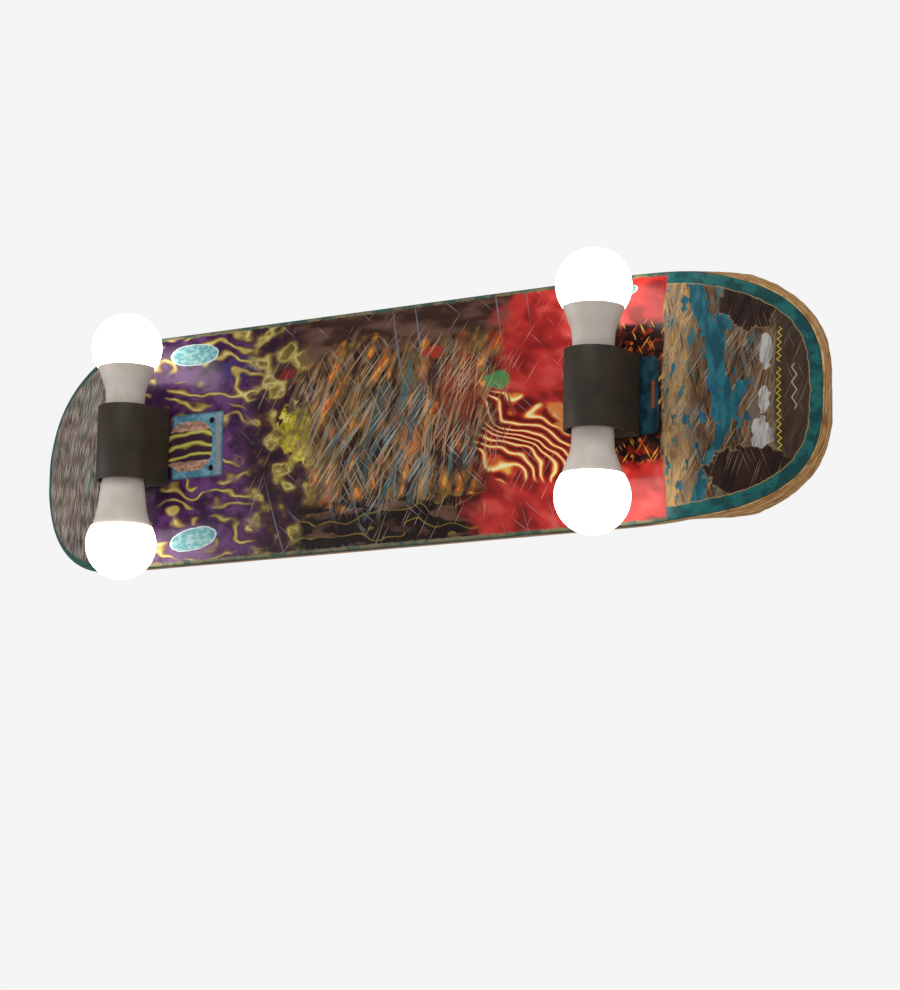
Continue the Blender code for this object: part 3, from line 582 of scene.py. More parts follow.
SCRATCHES = (
    # angle, length, width, share, seed, colour, strength, centre and half size of the area it covers
    (68, 84, 9.0, 0.50, 1.0, "5e4a36", 0.80, (-22, 8), (92, 74)),
    (108, 70, 7.0, 0.40, 2.0, "3d2418", 0.90, (35, 0), (115, 80)),
    (60, 64, 6.0, 0.42, 5.0, "7a5f30", 0.80, (-40, 18), (58, 56)),
    (74, 50, 4.2, 0.46, 5.5, "8c3a1c", 0.85, (76, 10), (56, 70)),
    (66, 62, 3.4, 0.50, 6.0, "1c0f0a", 0.90, (34, 0), (110, 78)),
    (72, 120, 15.0, 0.72, 4.0, "3c4a49", 0.92, (18, -10), (46, 84)),
    (58, 78, 7.5, 0.52, 3.0, "2c5058", 0.92, (-6, -34), (64, 44)),
    (84, 100, 7.0, 0.48, 11.0, "40605f", 0.90, (52, 4), (52, 90)),
    (74, 60, 3.0, 0.34, 7.0, "9a7650", 0.80, (30, 4), (118, 84)),
    (118, 48, 1.8, 0.30, 8.5, "8a7058", 0.75, (-8, 4), (90, 78)),
    (52, 46, 1.3, 0.30, 9.0, "c3a88c", 0.80, (24, 8), (122, 86)),
    (48, 40, 1.2, 0.24, 10.0, "8aa4a6", 0.80, (0, -20), (84, 60)),
    (84, 54, 1.4, 0.30, 12.0, "c08e62", 0.75, (88, -6), (50, 84)),
)
ALL_OVER = ((60, 0), (400, 400))
LONG_SCRATCHES = (
    (64, 90, 2.2, 0.035, 21.0, "9a8878", 0.75, *ALL_OVER),
    (104, 110, 1.8, 0.030, 22.0, "6f7480", 0.70, *ALL_OVER),
    (57, 26, 0.8, 0.045, 23.0, "c79a88", 0.55, *ALL_OVER),
    (138, 30, 0.7, 0.030, 24.0, "b9adae", 0.50, *ALL_OVER),
)


def scratch(u, v, colour, rows, where, worn_tips):
    """Lays each row of scratches over the colour: (colour, how much of it is scratched)."""
    scraped = None
    fibre = noise(u, v, 5.0, 1.1, 60.8, 4.0, 0.7, angle=68)
    for angle, length, width, share, seed, hue, strength, centre, area in rows:
        mask, random = strokes(u, angle, length, width, share, seed)
        du = (u - centre[0]) / area[0]
        dv = (v - centre[1]) / area[1]
        cluster = noise(u, v, 16 + width * 3, 22 + width * 3, seed + 60.0, 2.0) * 2.6
        cluster = cluster - du.squared() - dv.squared()
        cover = mask * where * cluster.over(0.50, 0.85)
        shade = hue
        if worn_tips:
            shade = mix(hue, "cbb595", random.over(0.55, 1.0) * 0.20 + fibre.over(0.56, 0.74) * 0.55)
            shade = mix(shade, "170b07", fibre.over(0.46, 0.30) * 0.65)
        colour = mix(colour, shade, cover * strength)
        scraped = cover if scraped is None else scraped.most(cover)
    return colour, scraped


def slow_drift(u, v):
    """Shift, in millimetres, that keeps the borders between the print's areas from being straight."""
    return (noise(u, v, 24, 24, 0.5, 3.0) - 0.5) * 60.0


def face_nose():
    """Nose and violet part: up to 125 mm on the nose's side of the middle."""
    material, tree = new_material("printed_ply_nose", IOR=1.34)
    u, v, rim, level = board_place(tree)
    colour = paint_purple(u, v)
    colour = mix(colour, paint_blotches(u, v), (u + slow_drift(u, v)).over(-138, -112))
    colour, scraped = scratch(u, v, colour, LONG_SCRATCHES, u.over(-150, -110), False)
    colour = paint_wheel_marks(u, v, "left", colour)
    colour, plate = paint_left_imprint(u, v, colour)
    on_nose = (u + (noise(u, v, 12, 16, 82.0, 3.0) - 0.5) * 40.0).over(-268, -284)
    colour = mix(colour, paint_nose(u, v, rim), on_nose)
    worn = on_nose.most(plate * 0.6).most(scraped)
    finish_face(tree, (u, v, rim, level), colour, worn, u.over(-262, -272), on_nose)
    return material


def face_middle(side):
    """Scratched middle. Its nose side runs out of the violet, and its tail side runs into the red."""
    material, tree = new_material(f"printed_ply_middle_{side}", IOR=1.34)
    u, v, rim, level = board_place(tree)
    drift = slow_drift(u, v)
    colour = paint_middle(u, v)
    if side == "nose":
        locks = mix(paint_purple(u, v), paint_blotches(u, v), (u + drift).over(-138, -112))
        colour = mix(locks, colour, (u + drift * 0.8 + abs(v) * 0.25).over(-72, -44))
    else:
        colour = mix(colour, paint_red(u, v), (u + drift * 1.3 - v * 0.12).over(92, 122))
    zone = (u + drift * 1.2 + v * 0.3).over(-104, -70) * (u - v * 0.2 + drift * 1.3).over(152, 118)
    zone = zone * (abs(v + 4.0) + drift * 0.7).over(92, 62)
    colour, scraped = scratch(u, v, colour, SCRATCHES, zone, True)
    colour = mix(colour, "3f8a4c", blot(u, v, (122, 27), (13, 7), 16.4, 1.5) * 0.85)
    colour, lines = scratch(u, v, colour, LONG_SCRATCHES, u.over(-150, -110), False)
    finish_face(tree, (u, v, rim, level), colour, scraped.most(lines), u.band(-74, 118, 24))
    return material


def face_tail():
    """Red part, dark panel and tail."""
    material, tree = new_material("printed_ply_tail", IOR=1.34)
    u, v, rim, level = board_place(tree)
    colour, scraped = scratch(u, v, paint_red(u, v), LONG_SCRATCHES, u.over(215, 190), False)
    colour = paint_dark(u, v, colour)
    colour = paint_wheel_marks(u, v, "right", colour)
    colour, plate = paint_right_imprint(u, v, colour)
    tail, torn = paint_tail(u, v, rim)
    on_tail = (u + (noise(u, v, 5, 30, 81.0, 3.0) - 0.5) * 9.0).over(272, 275)
    colour = mix(colour, tail, on_tail)
    worn = (on_tail * (torn * 0.6 + 0.4)).most(plate * 0.6)
    finish_face(tree, (u, v, rim, level), colour, worn.most(scraped), u.over(272, 276), on_tail)
    return material


def finish_face(tree, place, colour, worn, scraped_area, end=None):
    """Rails chipped up to where an end's rim begins, the ply's side, and the lacquer's gloss and dents."""
    u, v, rim, level = place
    fray = rim + (noise(u, v, 5, 2, 83.0, 4.0, 0.7) - 0.5) * 6.0
    bare = fray.over(1.9, 1.2)
    if end:
        bare = bare * end.inverse()
    chipped = mix("7c7150", "2f544c", noise(u, v, 15, 15, 84.0, 4.0, 0.7).over(0.44, 0.60))
    colour = mix(colour, chipped, bare)
    side = (level + (noise(u, v, 10, 10, 85.0) - 0.5) * 0.5).over(0.35, 0.6)
    stain = mix("1d3a36", "2f544e", noise(u, v, 22, 22, 86.0, 4.0, 0.7).over(0.40, 0.60))
    colour = mix(colour, stain, side)
    grain = noise(u, v, 2.4, 14, 87.0, 4.0, 0.65)
    dents = strokes(u, 66, 44, 5.5, 0.5, 88.0)[0].most(strokes(u, 108, 34, 3.0, 0.4, 89.0)[0])
    dents = (dents * 0.7 + grain * 0.5) * scraped_area
    finish_material(tree, colour, worn.most(bare) * 0.30 + grain * 0.08 + 0.20, dents * -1.0, 0.0004)


def wood_material():
    """Maple plies seen on edge: alternate grain, darker glue lines, and darker dirt where it is torn."""
    material, tree = new_material("maple_plies", IOR=1.45)
    u, v, _, level = board_place(tree)
    layer = level / (DECK_THICKNESS * 1000 / PLY_COUNT)
    turn = layer.math("FLOOR")
    inside = layer.math("FRACT")
    fibre = noise(u, v, 9, 9, 91.0, 4.0, 0.6, z=level * 2.4)
    colour = mix("b9803f", "e3b87c", fibre.over(0.36, 0.64))
    even = (turn * pi * 0.5).wave()
    colour = mix(colour, "8a5c34", abs(even).over(0.4, 0.6) * 0.45)
    colour = mix(colour, "5c3a24", abs(inside - 0.5).over(0.42, 0.49) * 0.8)
    dirt = noise(u, v, 16, 16, 92.0, 4.0, 0.6, z=level * 0.7)
    colour = mix(colour, "7b4a28", dirt.over(0.54, 0.68) * 0.7)
    dark_rail = u.over(268, 256) * level.over(5.2, 3.6)
    colour = mix(colour, "27332c", dark_rail * dirt.over(0.34, 0.42) * 0.85)
    finish_material(tree, colour, fibre * 0.2 + 0.5, fibre + inside * 0.3, 0.0005)
    return material


def grip_material():
    """Black abrasive sheet with bright specks and paler rubbed areas."""
    material, tree = new_material("grip", roughness=0.92)
    u, v, rim, _ = board_place(tree)
    grain = noise(u, v, 0.55, 0.55, 101.0, 3.0, 0.8)
    rubbed = noise(u, v, 60, 44, 102.0, 4.0)
    colour = mix("0d0d0e", "1d1d1f", grain.over(0.42, 0.60))
    colour = layers(
        colour,
        ("4a4744", grain.over(0.66, 0.74) * 0.8),
        ("3a3633", rubbed.over(0.54, 0.70) * 0.55),
        ("6b5f52", rim.over(3.0, 0.6) * rubbed.over(0.40, 0.60) * 0.7))
    finish_material(tree, colour, grain * 0.2 + 0.78, grain, 0.0007)
    return material


# ---------------------------------------------------------------- other materials


def metal_material(name, base, dark, roughness, streak, metallic=1.0, relief=0.00006):
    """Metal or paint with fine directional marks and a slow change in tone and polish."""
    material, tree = new_material(name, roughness, metallic)
    x, y, z = object_place(tree)
    fine = noise(x, y, streak[0], streak[1], 0.0, 3.0, 0.6, z=z / streak[2])
    slow = noise(x, y, 17, 17, 0.0, 3.0, 0.6, z=z / 17.0)
    colour = mix(base, dark, slow.over(0.40, 0.70) * 0.6 + fine.over(0.45, 0.75) * 0.25)
    finish_material(tree, colour, (fine - 0.5) * 0.25 + (slow - 0.5) * 0.15 + roughness, fine, relief)
    return material


def plastic_material(name, base, shade, roughness, grain=0.5, relief=0.00003, **sockets):
    """Moulded plastic or glaze: a fine orange-peel surface and a slow, slight change in colour."""
    material, tree = new_material(name, roughness, **sockets)
    x, y, z = object_place(tree)
    fine = noise(x, y, grain, grain, 0.0, 2.0, 0.5, z=z / grain)
    slow = noise(x, y, 22, 22, 0.0, 3.0, 0.5, z=z / 22.0)
    colour = mix(base, shade, slow.over(0.38, 0.68))
    finish_material(tree, colour, (fine - 0.5) * 0.12 + roughness, fine, relief)
    return material


def diffuser_material():
    """Opal globe, lit from inside: white, with a faint random warm mottle."""
    material, tree = new_material("lit_diffuser", 0.35, Emission_Strength=LAMP_STRENGTH)
    x, y, z = object_place(tree)
    cloud = noise(x, y, 9, 9, 0.0, 2.0, 0.5, z=z / 9.0)
    colour = mix("fffdf8", "fff6ea", cloud.over(0.35, 0.65))
    shader = tree.nodes["Principled BSDF"]
    feed(tree, shader.inputs["Emission Color"], colour)
    finish_material(tree, colour, cloud * 0.1 + 0.3)
    return material


def make_materials():
    return {
        "face": (face_nose(), face_middle("nose"), face_middle("tail"), face_tail()),
        "wood": wood_material(),
        "grip": grip_material(),
        "bronze_paint": metal_material("bronze_paint", "3d3226", "2e251c", 0.50, (0.35, 0.35, 0.35), 0.1),
        "zinc_steel": metal_material("zinc_steel", "b9b9b4", "8d8f8c", 0.34, (0.4, 6, 6)),
        "brass": metal_material("brass", "c79a4a", "8f6a30", 0.28, (3, 0.3, 3)),
        "nickel": metal_material("nickel", "c9c7c0", "9a978f", 0.24, (4, 4, 0.3)),
        "black_paint": metal_material("black_paint", "1b1b1c", "101011", 0.5, (0.4, 0.4, 0.4), 0.0),
        "porcelain": plastic_material("porcelain", "dedbd2", "cfcbc0", 0.22),
        "bulb_plastic": plastic_material("bulb_plastic", "dbd0c6", "cfc3b8", 0.42, 0.35),
        "insulator": plastic_material("insulator", "17181c", "0c0d10", 0.18),
        "led_board": plastic_material("led_board", "e4e3de", "d6d5d0", 0.45),
        "nylon": plastic_material("nylon", "d6d1c2", "c8c2b2", 0.42),
        "lead": plastic_material("lead", "19191a", "0f0f10", 0.5, 0.8),
        "diffuser": diffuser_material(),
    }


# ---------------------------------------------------------------- meshes


def finish_piece(name, built, material, body, node, angle=35):
    """Object around a bmesh, smooth but for its corners, riding on a body and standing for a CAD node."""
    bmesh.ops.recalc_face_normals(built, faces=built.faces)
    mesh = bpy.data.meshes.new(name)
    built.to_mesh(mesh)
    built.free()
    mesh.shade_smooth()
    mesh.set_sharp_from_angle(angle=radians(angle))
    mesh.materials.append(material)
    obj = bpy.data.objects.new(name, mesh)
    bpy.context.scene.collection.objects.link(obj)
    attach(obj, body)
    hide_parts(node)
    return obj


def ring_faces(built, rings, closed):
    pairs = list(zip(rings, rings[1:]))
    if closed:
        pairs.append((rings[-1], rings[0]))
    for ring, following in pairs:
        count = max(len(ring), len(following))
        if count == 1:
            continue
        for i in range(count):
            corners = [ring[i % len(ring)], ring[(i + 1) % len(ring)]]
            corners += [following[(i + 1) % len(following)], following[i % len(following)]]
            built.faces.new(dict.fromkeys(corners))


def lathe(profile, steps, place, wobble=None):
    """Bmesh of a closed outline of (radius, height) points turned about an axis, put in the row frame."""
    built = bmesh.new()
    rings = []
    for radius, height in profile:
        if radius == 0:
            rings.append([built.verts.new(place @ Vector((0, 0, height)))])
            continue
        ring = []
        for i in range(steps):
            a = 2 * pi * i / steps
            r = radius + (wobble(height, a) if wobble else 0.0)
            ring.append(built.verts.new(place @ Vector((r * cos(a), r * sin(a), height))))
        rings.append(ring)
    ring_faces(built, rings, True)
    return built


def smooth_line(points, steps):
    """Points of a Catmull-Rom curve through a line's own points."""
    line = [Vector((*p, 0.0)) for p in points]
    line = [2 * line[0] - line[1]] + line + [2 * line[-1] - line[-2]]
    out = [tuple(line[1][:2])]
    for a, b, c, d in zip(line, line[1:], line[2:], line[3:]):
        for i in range(1, steps + 1):
            t = i / steps
            cubic = (3 * b - a - 3 * c + d) * t**3 + (2 * a - 5 * b + 4 * c - d) * t**2
            p = 0.5 * (cubic + (c - a) * t + 2 * b)
            out.append((p.x, p.y))
    return out


# ---------------------------------------------------------------- deck


def kick(distance):
    arc = KICK_RADIUS * KICK_ANGLE
    if distance <= 0:
        return distance, 0.0, 0.0
    slope = min(distance, arc) / KICK_RADIUS
    beyond = max(distance - arc, 0.0)
    advance = KICK_RADIUS * sin(slope) + beyond * cos(slope)
    return advance, KICK_RADIUS * (1 - cos(slope)) + beyond * sin(slope), slope


def deck_point(along, across, level):
    if along > TAIL_START:
        advance, rise, slope = kick(along - TAIL_START)
        x = TAIL_START + advance - level * sin(slope)
    elif along < NOSE_START:
        advance, rise, slope = kick(NOSE_START - along)
        x = NOSE_START - advance + level * sin(slope)
    else:
        x, rise, slope = along, 0.0, 0.0
    concave = CONCAVE_RISE * (2 * across / DECK_WIDTH) ** 2
    return x, DECK_FACE_Y + rise + concave + level * cos(slope), across


def end_outline(taper, length, power):
    """(distance past the kick's start, half width, outward normal) from the taper's start to the tip."""
    out = []
    half = DECK_WIDTH / 2
    for i in range(END_ROWS + 1):
        swept = radians(89.2) * (i / END_ROWS)
        place = taper + (length - taper) * sin(swept) ** (2 / power)
        out.append((place, half * cos(swept) ** (2 / power)))
    normals = []
    for i in range(len(out)):
        a, b = out[max(i - 1, 0)], out[min(i + 1, END_ROWS)]
        along, across = b[0] - a[0], b[1] - a[1]
        size = hypot(along, across)
        normals.append((-across / size, along / size))
    normals[-1] = (1.0, 0.0)
    return [(p, w, n) for (p, w), n in zip(out, normals)]


def deck_rows():
    """Rows from nose to tail: place along the board, half width, outward normal, nearness to a tip."""
    rows = []
    for p, w, n in reversed(end_outline(NOSE_TAPER, NOSE_LENGTH, NOSE_POWER)):
        rows.append([NOSE_START - p, w, (-n[0], n[1])])
    tail = end_outline(TAIL_TAPER, TAIL_LENGTH, TAIL_POWER)
    start, stop = rows[-1][0], TAIL_START + tail[0][0]
    rows += [[start + (stop - start) * i / MIDDLE_ROWS, DECK_WIDTH / 2, (0.0, 1.0)]
             for i in range(1, MIDDLE_ROWS)]
    rows += [[TAIL_START + p, w, n] for p, w, n in tail]
    last = len(rows) - 1
    return [(p, w, n, max(0.0, 1 - min(i, last - i) / 5) ** 2) for i, (p, w, n) in enumerate(rows)]


def rough_edge(angle, level, scale):
    """Torn outline, in metres: slow scallops and splinters that differ from ply to ply."""
    ply = int(level / DECK_THICKNESS * PLY_COUNT * 0.999)
    slow = sin(angle * 5.1 + 0.8 * ply) * 0.5 + sin(angle * 11.7 + 1.9 * ply) * 0.35
    quick = sin(angle * 37.0 + 2.7 * ply) * 0.2 + sin(angle * 83.0 + 4.1 * ply) * 0.12
    return (slow + quick) * scale


def deck_layer(name, profile, tail, materials, node):
    """A layer of the board.

    profile lists (level, inset) from its front face, round its rim, to its back. tail is how far the layer
    reaches past the outline at its front and at its back, and how rough its torn edge is.
    """
    built = bmesh.new()
    board = built.loops.layers.uv.new("board")
    edge = built.loops.layers.uv.new("edge")
    even = [2 * j / COLUMNS - 1 for j in range(COLUMNS + 1)]
    spread = [sin(pi / 2 * s) * 0.35 + s * 0.65 for s in even]
    base = deck_rows()
    outline = np.array([(p, s * w) for s in (1, -1) for p, w, n, tip in base])
    flat = {}

    def torn_of(level):
        share = min(1.0, max(0.0, (level - BOTTOM_PLY) / (DECK_THICKNESS - BOTTOM_PLY)))
        return tail[0] + (tail[1] - tail[0]) * share**0.55, tail[2]

    def grid_point(i, j, level, inset):
        p, w, n, tip = base[i]
        torn = torn_of(level)
        side = 1 if spread[j] >= 0 else -1
        push = -inset
        if p > TAIL_START - 0.02:
            angle = atan2(spread[j] * w, p - TAIL_START + 0.03)
            fade = min(1.0, max(0.0, (p - TAIL_START - 0.012) / 0.05))
            push += (torn[0] * (0.72 + 0.28 * cos(angle)) + rough_edge(angle, level, torn[1])) * fade
        weight = max(abs(spread[j]) ** 14, tip)
        along = p + n[0] * push * weight
        across = spread[j] * w + n[1] * push * weight * side * abs(spread[j])
        vert = built.verts.new(deck_point(along, across, level))
        flat[vert] = (p, spread[j] * w, level)
        return vert

    last, far = len(base) - 1, COLUMNS
    border = [(i, 0) for i in range(last + 1)] + [(last, j) for j in range(1, far + 1)]
    border += [(i, far) for i in range(last - 1, -1, -1)] + [(0, j) for j in range(far - 1, 0, -1)]
    caps = []
    for level, inset in (profile[0], profile[-1]):
        caps.append([[grid_point(i, j, level, inset) for j in range(far + 1)] for i in range(last + 1)])
    for grid in caps:
        for i in range(last):
            for j in range(far):
                built.faces.new((grid[i][j], grid[i + 1][j], grid[i + 1][j + 1], grid[i][j + 1]))
    rings = [[caps[0][i][j] for i, j in border]]
    for level, inset in profile[1:-1]:
        rings.append([grid_point(i, j, level, inset) for i, j in border])
    rings.append([caps[1][i][j] for i, j in border])
    ring_faces(built, rings, False)
    tail_x = TAIL_START + TAIL_TAPER
    for vert, (along, across, level) in list(flat.items()):
        gap = float(np.min(np.hypot(outline[:, 0] - along, outline[:, 1] - across)))
        straight = DECK_WIDTH / 2 - abs(across) if NOSE_START - NOSE_TAPER < along < tail_x else gap
        flat[vert] = (along, across, min(gap, straight), level)

    def zone_of(face):
        middle = sum(flat[vert][0] for vert in face.verts) / len(face.verts)
        return sum(middle > limit for limit in PAINT_ZONES)

    for face in built.faces:
        for loop in face.loops:
            along, across, rim, level = flat[loop.vert]
            loop[board].uv = (along, across)
            loop[edge].uv = (rim, level)
        face.material_index = zone_of(face) if len(materials) > 1 else 0
    obj = finish_piece(name, built, materials[0], "root", node, 40)
    for extra in materials[1:]:
        obj.data.materials.append(extra)
    drill_deck(obj)


def drill_deck(obj):
    """Opens the eight old truck holes through a layer."""
    built = bmesh.new()
    for x, z in TRUCK_HOLES:
        place = Matrix.Translation((x, DECK_FACE_Y + DECK_THICKNESS / 2, z))
        place = place @ Matrix.Rotation(pi / 2, 4, "X")
        bmesh.ops.create_cone(built, cap_ends=True, segments=28, radius1=TRUCK_HOLE_RADIUS,
                              radius2=TRUCK_HOLE_RADIUS, depth=0.03, matrix=place)
    mesh = bpy.data.meshes.new("drill")
    built.to_mesh(mesh)
    built.free()
    drill = bpy.data.objects.new("drill", mesh)
    bpy.context.scene.collection.objects.link(drill)
    cut = obj.modifiers.new("holes", "BOOLEAN")
    cut.object = drill
    cut.solver = "EXACT"
    bpy.context.view_layer.update()
    done = bpy.data.meshes.new_from_object(obj.evaluated_get(bpy.context.evaluated_depsgraph_get()))
    obj.modifiers.clear()
    obj.data = done
    bpy.data.objects.remove(drill, do_unlink=True)


def rounding(low, high, steps, rising):
    """(level, inset) points of a rounded corner between two levels."""
    out = []
    for i in range(steps + 1):
        a = pi / 2 * i / steps
        out.append((low + (high - low) * (1 - cos(a)), EDGE_ROUND * (1 - sin(a))) if rising
                   else (low + (high - low) * sin(a), EDGE_ROUND * (1 - cos(a))))
    return out


def build_deck(material):
    front = rounding(0.0, FRONT_ROUND_TOP, 6, True)
    face = [p for p in front if p[0] < BOTTOM_PLY - 0.0001] + [(BOTTOM_PLY, PLY_STEP)]
    deck_layer("printed_face", face, (0.0, 0.0, 0.0004), material["face"], "bottom_ply")
    levels = [BOTTOM_PLY + (BACK_ROUND_START - BOTTOM_PLY) * i / 12 for i in range(13)]
    core = [(level, PLY_STEP if level == BOTTOM_PLY else 0.0) for level in levels]
    core += rounding(BACK_ROUND_START, DECK_THICKNESS, 5, False)[1:]
    deck_layer("ply_core", core, (0.0012, TAIL_BARE_WOOD, 0.0011), [material["wood"]], "deck_core")
    low, high = GRIP_LEVELS
    grip = [(low, EDGE_ROUND + 0.0004), (high - 0.0003, EDGE_ROUND + 0.0004), (high, EDGE_ROUND + 0.0008)]
    deck_layer("grip_sheet", grip, (0.006, 0.006, 0.0006), [material["grip"]], "grip_tape")


# ---------------------------------------------------------------- housings


def housing_outline(inset, radius, back):
    """Outline seen from above: half round in front, straight sides, rounded back corners."""
    r = radius - inset
    corner = max(HOUSING_CORNER - inset, 0.0008)
    front = [(r * cos(a), r * sin(a)) for a in (pi + pi * i / 72 for i in range(73))]
    right = [(r - corner + corner * cos(a), back - inset - corner + corner * sin(a))
             for a in (pi / 2 * i / 8 for i in range(9))]
    return front + right + [(-x, y) for x, y in reversed(right)]


def build_housing(side, material):
    low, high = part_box(f"housing_{side}")
    x = (low.x + high.x) / 2
    radius = (high.x - low.x) / 2
    axis_y = low.y + radius
    back = high.y - axis_y
    ease = 0.0004
    top, slant = high.z, ease * 0.3
    upper = [(0.0, top - ease), (slant, top - slant), (ease, top), (HOUSING_WALL - ease, top),
             (HOUSING_WALL - slant, top - slant), (HOUSING_WALL, top - ease)]
    rings_at = upper + [(inset, -z) for inset, z in reversed(upper)]
    built = bmesh.new()
    rings = [[built.verts.new((x + a, axis_y + b, z)) for a, b in housing_outline(inset, radius, back)]
             for inset, z in rings_at]
    ring_faces(built, rings, True)
    finish_piece(f"housing_shell_{side}", built, material["bronze_paint"], "root",
                 f"housing_{side}", 50)


# ---------------------------------------------------------------- bulbs and sockets


def lamp_piece(name, piece, built, material, body, slot, node, angle=35):
    """Piece of the bulb or socket called name, in place of the CAD node that is named after it too."""
    finish_piece(f"{name}_{piece}", built, material[slot], body, f"{name}_{node}", angle)


def thread(pitch, depth, low, high):
    """Radius added by a right-hand thread that fades out at both ends."""
    def added(height, angle):
        fade = min(1.0, max(0.0, (height - low) / pitch), max(0.0, (high - height) / pitch))
        return depth * fade * (0.5 + 0.5 * cos(2 * pi * (height / pitch - angle / (2 * pi))))
    return added


def threaded_tube(low, high, bore, root, depth, place):
    """Thin rolled shell whose inner and outer faces both follow the thread."""
    rows = int((high - low) / (THREAD_PITCH / 9))
    heights = [low + (high - low) * i / rows for i in range(rows + 1)]
    profile = [(root, h) for h in heights] + [(bore, h) for h in reversed(heights)]
    return lathe(profile, 48, place, thread(THREAD_PITCH, depth, low + 0.001, high - 0.001))


def build_socket(name, place, material):
    cup = [(0, 0.0011), (0.0158, 0.0011), (0.0166, 0.0013), (0.0170, 0.0019), (0.0170, 0.0262),
           (0.0167, 0.0266), (0.0167, 0.0272), (0.0170, 0.0276), (0.0168, 0.0279), (0.0164, 0.0280),
           (0.0152, 0.0280), (0.0148, 0.0278), (0.0146, 0.0274), (0.0146, 0.0040), (0, 0.0040)]
    lamp_piece(name, "socket_cup", lathe(cup, 56, place), material, "root", "porcelain", "socket_body")
    shell = threaded_tube(*SOCKET_SHELL_SPAN, 0.01362, 0.01392, 0.00028, place)
    lamp_piece(name, "socket_thread", shell, material, "root", "nickel", "socket_shell", 60)


def diffuser_profile(kind):
    joint, centre = kind["joint"], kind["globe"]
    start = atan2(joint + 0.0012 - centre, 0.0250)
    foot = sqrt(GLOBE_RADIUS**2 - (joint + 0.0006 - centre) ** 2)
    outside = [(GLOBE_RADIUS * cos(a), centre + GLOBE_RADIUS * sin(a))
               for a in (start + (pi / 2 - start) * i / 30 for i in range(30))]
    inner = GLOBE_RADIUS - 0.0012
    inside = [(inner * cos(a), centre + inner * sin(a))
              for a in (start + 0.08 + (pi / 2 - start - 0.08) * i / 14 for i in range(14))]
    lip = [(foot - 0.0016, joint), (foot - 0.0002, joint), (foot, joint + 0.0003)]
    return [*lip, *outside, (0.0, centre + GLOBE_RADIUS), (0.0, centre + inner), *reversed(inside)]


def build_bulb(name, kind, place, material):
    body = f"{name}_bulb"
    top = kind["body"][-1][1]
    outside = smooth_line(kind["body"], 5)
    wall = 0.0016
    inside = [(r - wall, h + wall * 0.4) for r, h in kind["body"][1:-1]]
    rim = [(outside[-1][0] - 0.0002, top + 0.0001), (0.0212, top), (0.0209, top - 0.0002),
           (0.0209, top - 0.0020), (0.0190, top - 0.0020)]
    neck = [(0.0103, 0.0258), (0.0103, 0.0180), (0.0118, 0.0180), (0.0118, 0.0241), (0.0150, 0.0241)]
    casing = lathe([*neck, *outside, *rim, *reversed(inside)], 64, place)
    lamp_piece(name, "housing", casing, material, body, "bulb_plastic", "bulb_body", 40)

    globe = lathe(diffuser_profile(kind), 64, place)
    lamp_piece(name, "globe", globe, material, body, "diffuser", "diffuser", 50)

    shell = threaded_tube(*SHELL_SPAN, SHELL_BORE, THREAD_ROOT, THREAD_CREST - THREAD_ROOT, place)
    lamp_piece(name, "thread", shell, material, body, "nickel", "screw_shell", 60)

    cone = [(0, 0.0021), (0.0048, 0.0021), (0.0052, 0.0023), (0.0085, 0.0037), (0.0112, 0.0049),
            (0.0115, 0.0054), (0.0115, 0.0066), (0, 0.0066)]
    lamp_piece(name, "insulator", lathe(cone, 48, place), material, body, "insulator", "base_insulator")

    button = [(0, 0.0), (0.0016, 0.0001), (0.0032, 0.0004), (0.0043, 0.0009), (0.00475, 0.0014),
              (0.0047, 0.0018), (0, 0.0018)]
    lamp_piece(name, "tip", lathe(button, 40, place), material, f"{name}_tip", "nickel", "tip_contact")

    disc = [(0, top - 0.0016), (0.0203, top - 0.0016), (0.0205, top - 0.0014), (0.0205, top - 0.0002),
            (0.0203, top), (0, top)]
    lamp_piece(name, "board", lathe(disc, 48, place), material, body, "led_board", "led_board")


def build_bulbs(material):
    for name, (direction, kind) in BULBS.items():
        low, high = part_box(f"{name}_diffuser")
        centre = Vector(((low.x + high.x) / 2, (low.y + high.y) / 2, 0.0))
        turn = Matrix.Rotation(0.0 if direction > 0 else pi, 4, "X")
        socket = Matrix.Translation(centre) @ turn
        build_socket(name, socket, material)
        build_bulb(name, kind, socket @ Matrix.Translation((0, 0, BULB_TIP)), material)


# ---------------------------------------------------------------- carried-over CAD nodes


def dress_frame(material):
    """Materials for the CAD nodes that stay as they are."""
    finishes = {"zinc_steel": "zinc_steel", "brass": "brass", "black_paint": "black_paint",
                "clip_plastic": "nylon", "lead_rubber": "lead", "nickel": "nickel"}
    for part in frame["record"]["subparts"]:
        node = frame["nodes"][part["node"]]
        if node.hide_render:
            continue
        node.data.materials.clear()
        node.data.materials.append(material[finishes[part["material_slot"]]])


# ---------------------------------------------------------------- stage


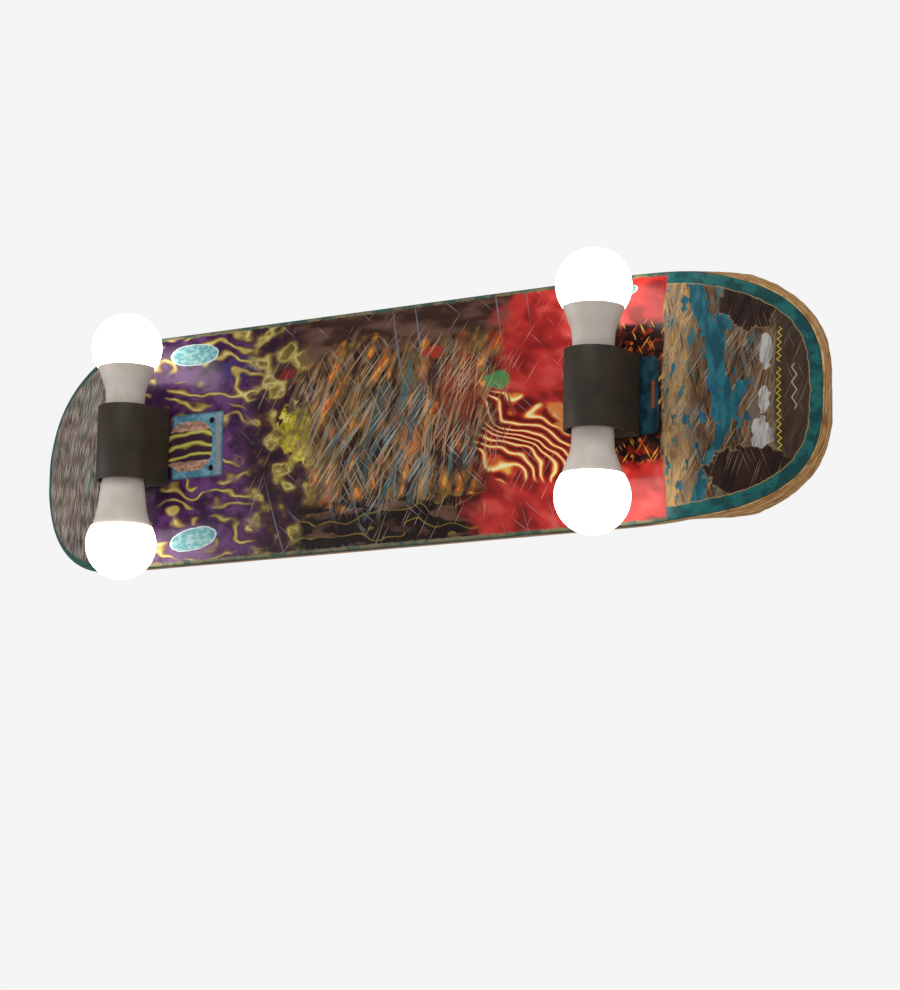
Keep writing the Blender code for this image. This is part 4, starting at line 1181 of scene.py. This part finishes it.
def build_stage():
    """Pale floor, bright surroundings, and two broad soft lights in front of the deck."""
    built = bmesh.new()
    bmesh.ops.create_grid(built, x_segments=8, y_segments=8, size=5.0)
    mesh = bpy.data.meshes.new("floor")
    built.to_mesh(mesh)
    built.free()
    material, tree = new_material("floor", 0.8)
    x, y, z = object_place(tree)
    finish_material(tree, mix("f2f1ef", "ecebe8", noise(x, y, 300, 300, 0.0, 3.0).over(0.4, 0.6)))
    mesh.materials.append(material)
    floor = bpy.data.objects.new("floor", mesh)
    floor.location.z = FLOOR_Z
    bpy.context.scene.collection.objects.link(floor)

    world = bpy.data.worlds.new("studio")
    world.use_nodes = True
    tree = world.node_tree
    back = tree.nodes["Background"]
    path = tree.nodes.new("ShaderNodeLightPath")
    seen = Field(tree, path.outputs["Is Camera Ray"])
    mirrored = Field(tree, path.outputs["Is Glossy Ray"])
    back.inputs["Color"].default_value = (1.0, 1.0, 1.0, 1.0)
    strength = seen * (BACKDROP - SURROUNDINGS) + mirrored * (MIRRORED - SURROUNDINGS) + SURROUNDINGS
    feed(tree, back.inputs["Strength"], strength)
    bpy.context.scene.world = world
    for name, place, size, power in LIGHTS:
        light = bpy.data.lights.new(name, "AREA")
        light.shape = "SQUARE"
        light.size = size
        light.energy = power
        lamp = bpy.data.objects.new(name, light)
        lamp.location = place
        lamp.rotation_euler = (Vector(LIGHT_AIM) - Vector(place)).to_track_quat("-Z", "Y").to_euler()
        bpy.context.scene.collection.objects.link(lamp)
    bpy.context.scene.view_settings.view_transform = "Standard"


def build_camera():
    camera = bpy.data.objects.new("camera", bpy.data.cameras.new("camera"))
    camera.data.lens = CAMERA_LENS
    camera.data.sensor_width = 36.0
    camera.location = CAMERA_PLACE
    camera.rotation_euler = [radians(a) for a in CAMERA_TURN]
    bpy.context.scene.collection.objects.link(camera)
    bpy.context.scene.camera = camera


build_camera()
materials = make_materials()
build_deck(materials)
for side in ("left", "right"):
    build_housing(side, materials)
build_bulbs(materials)
dress_frame(materials)
build_stage()
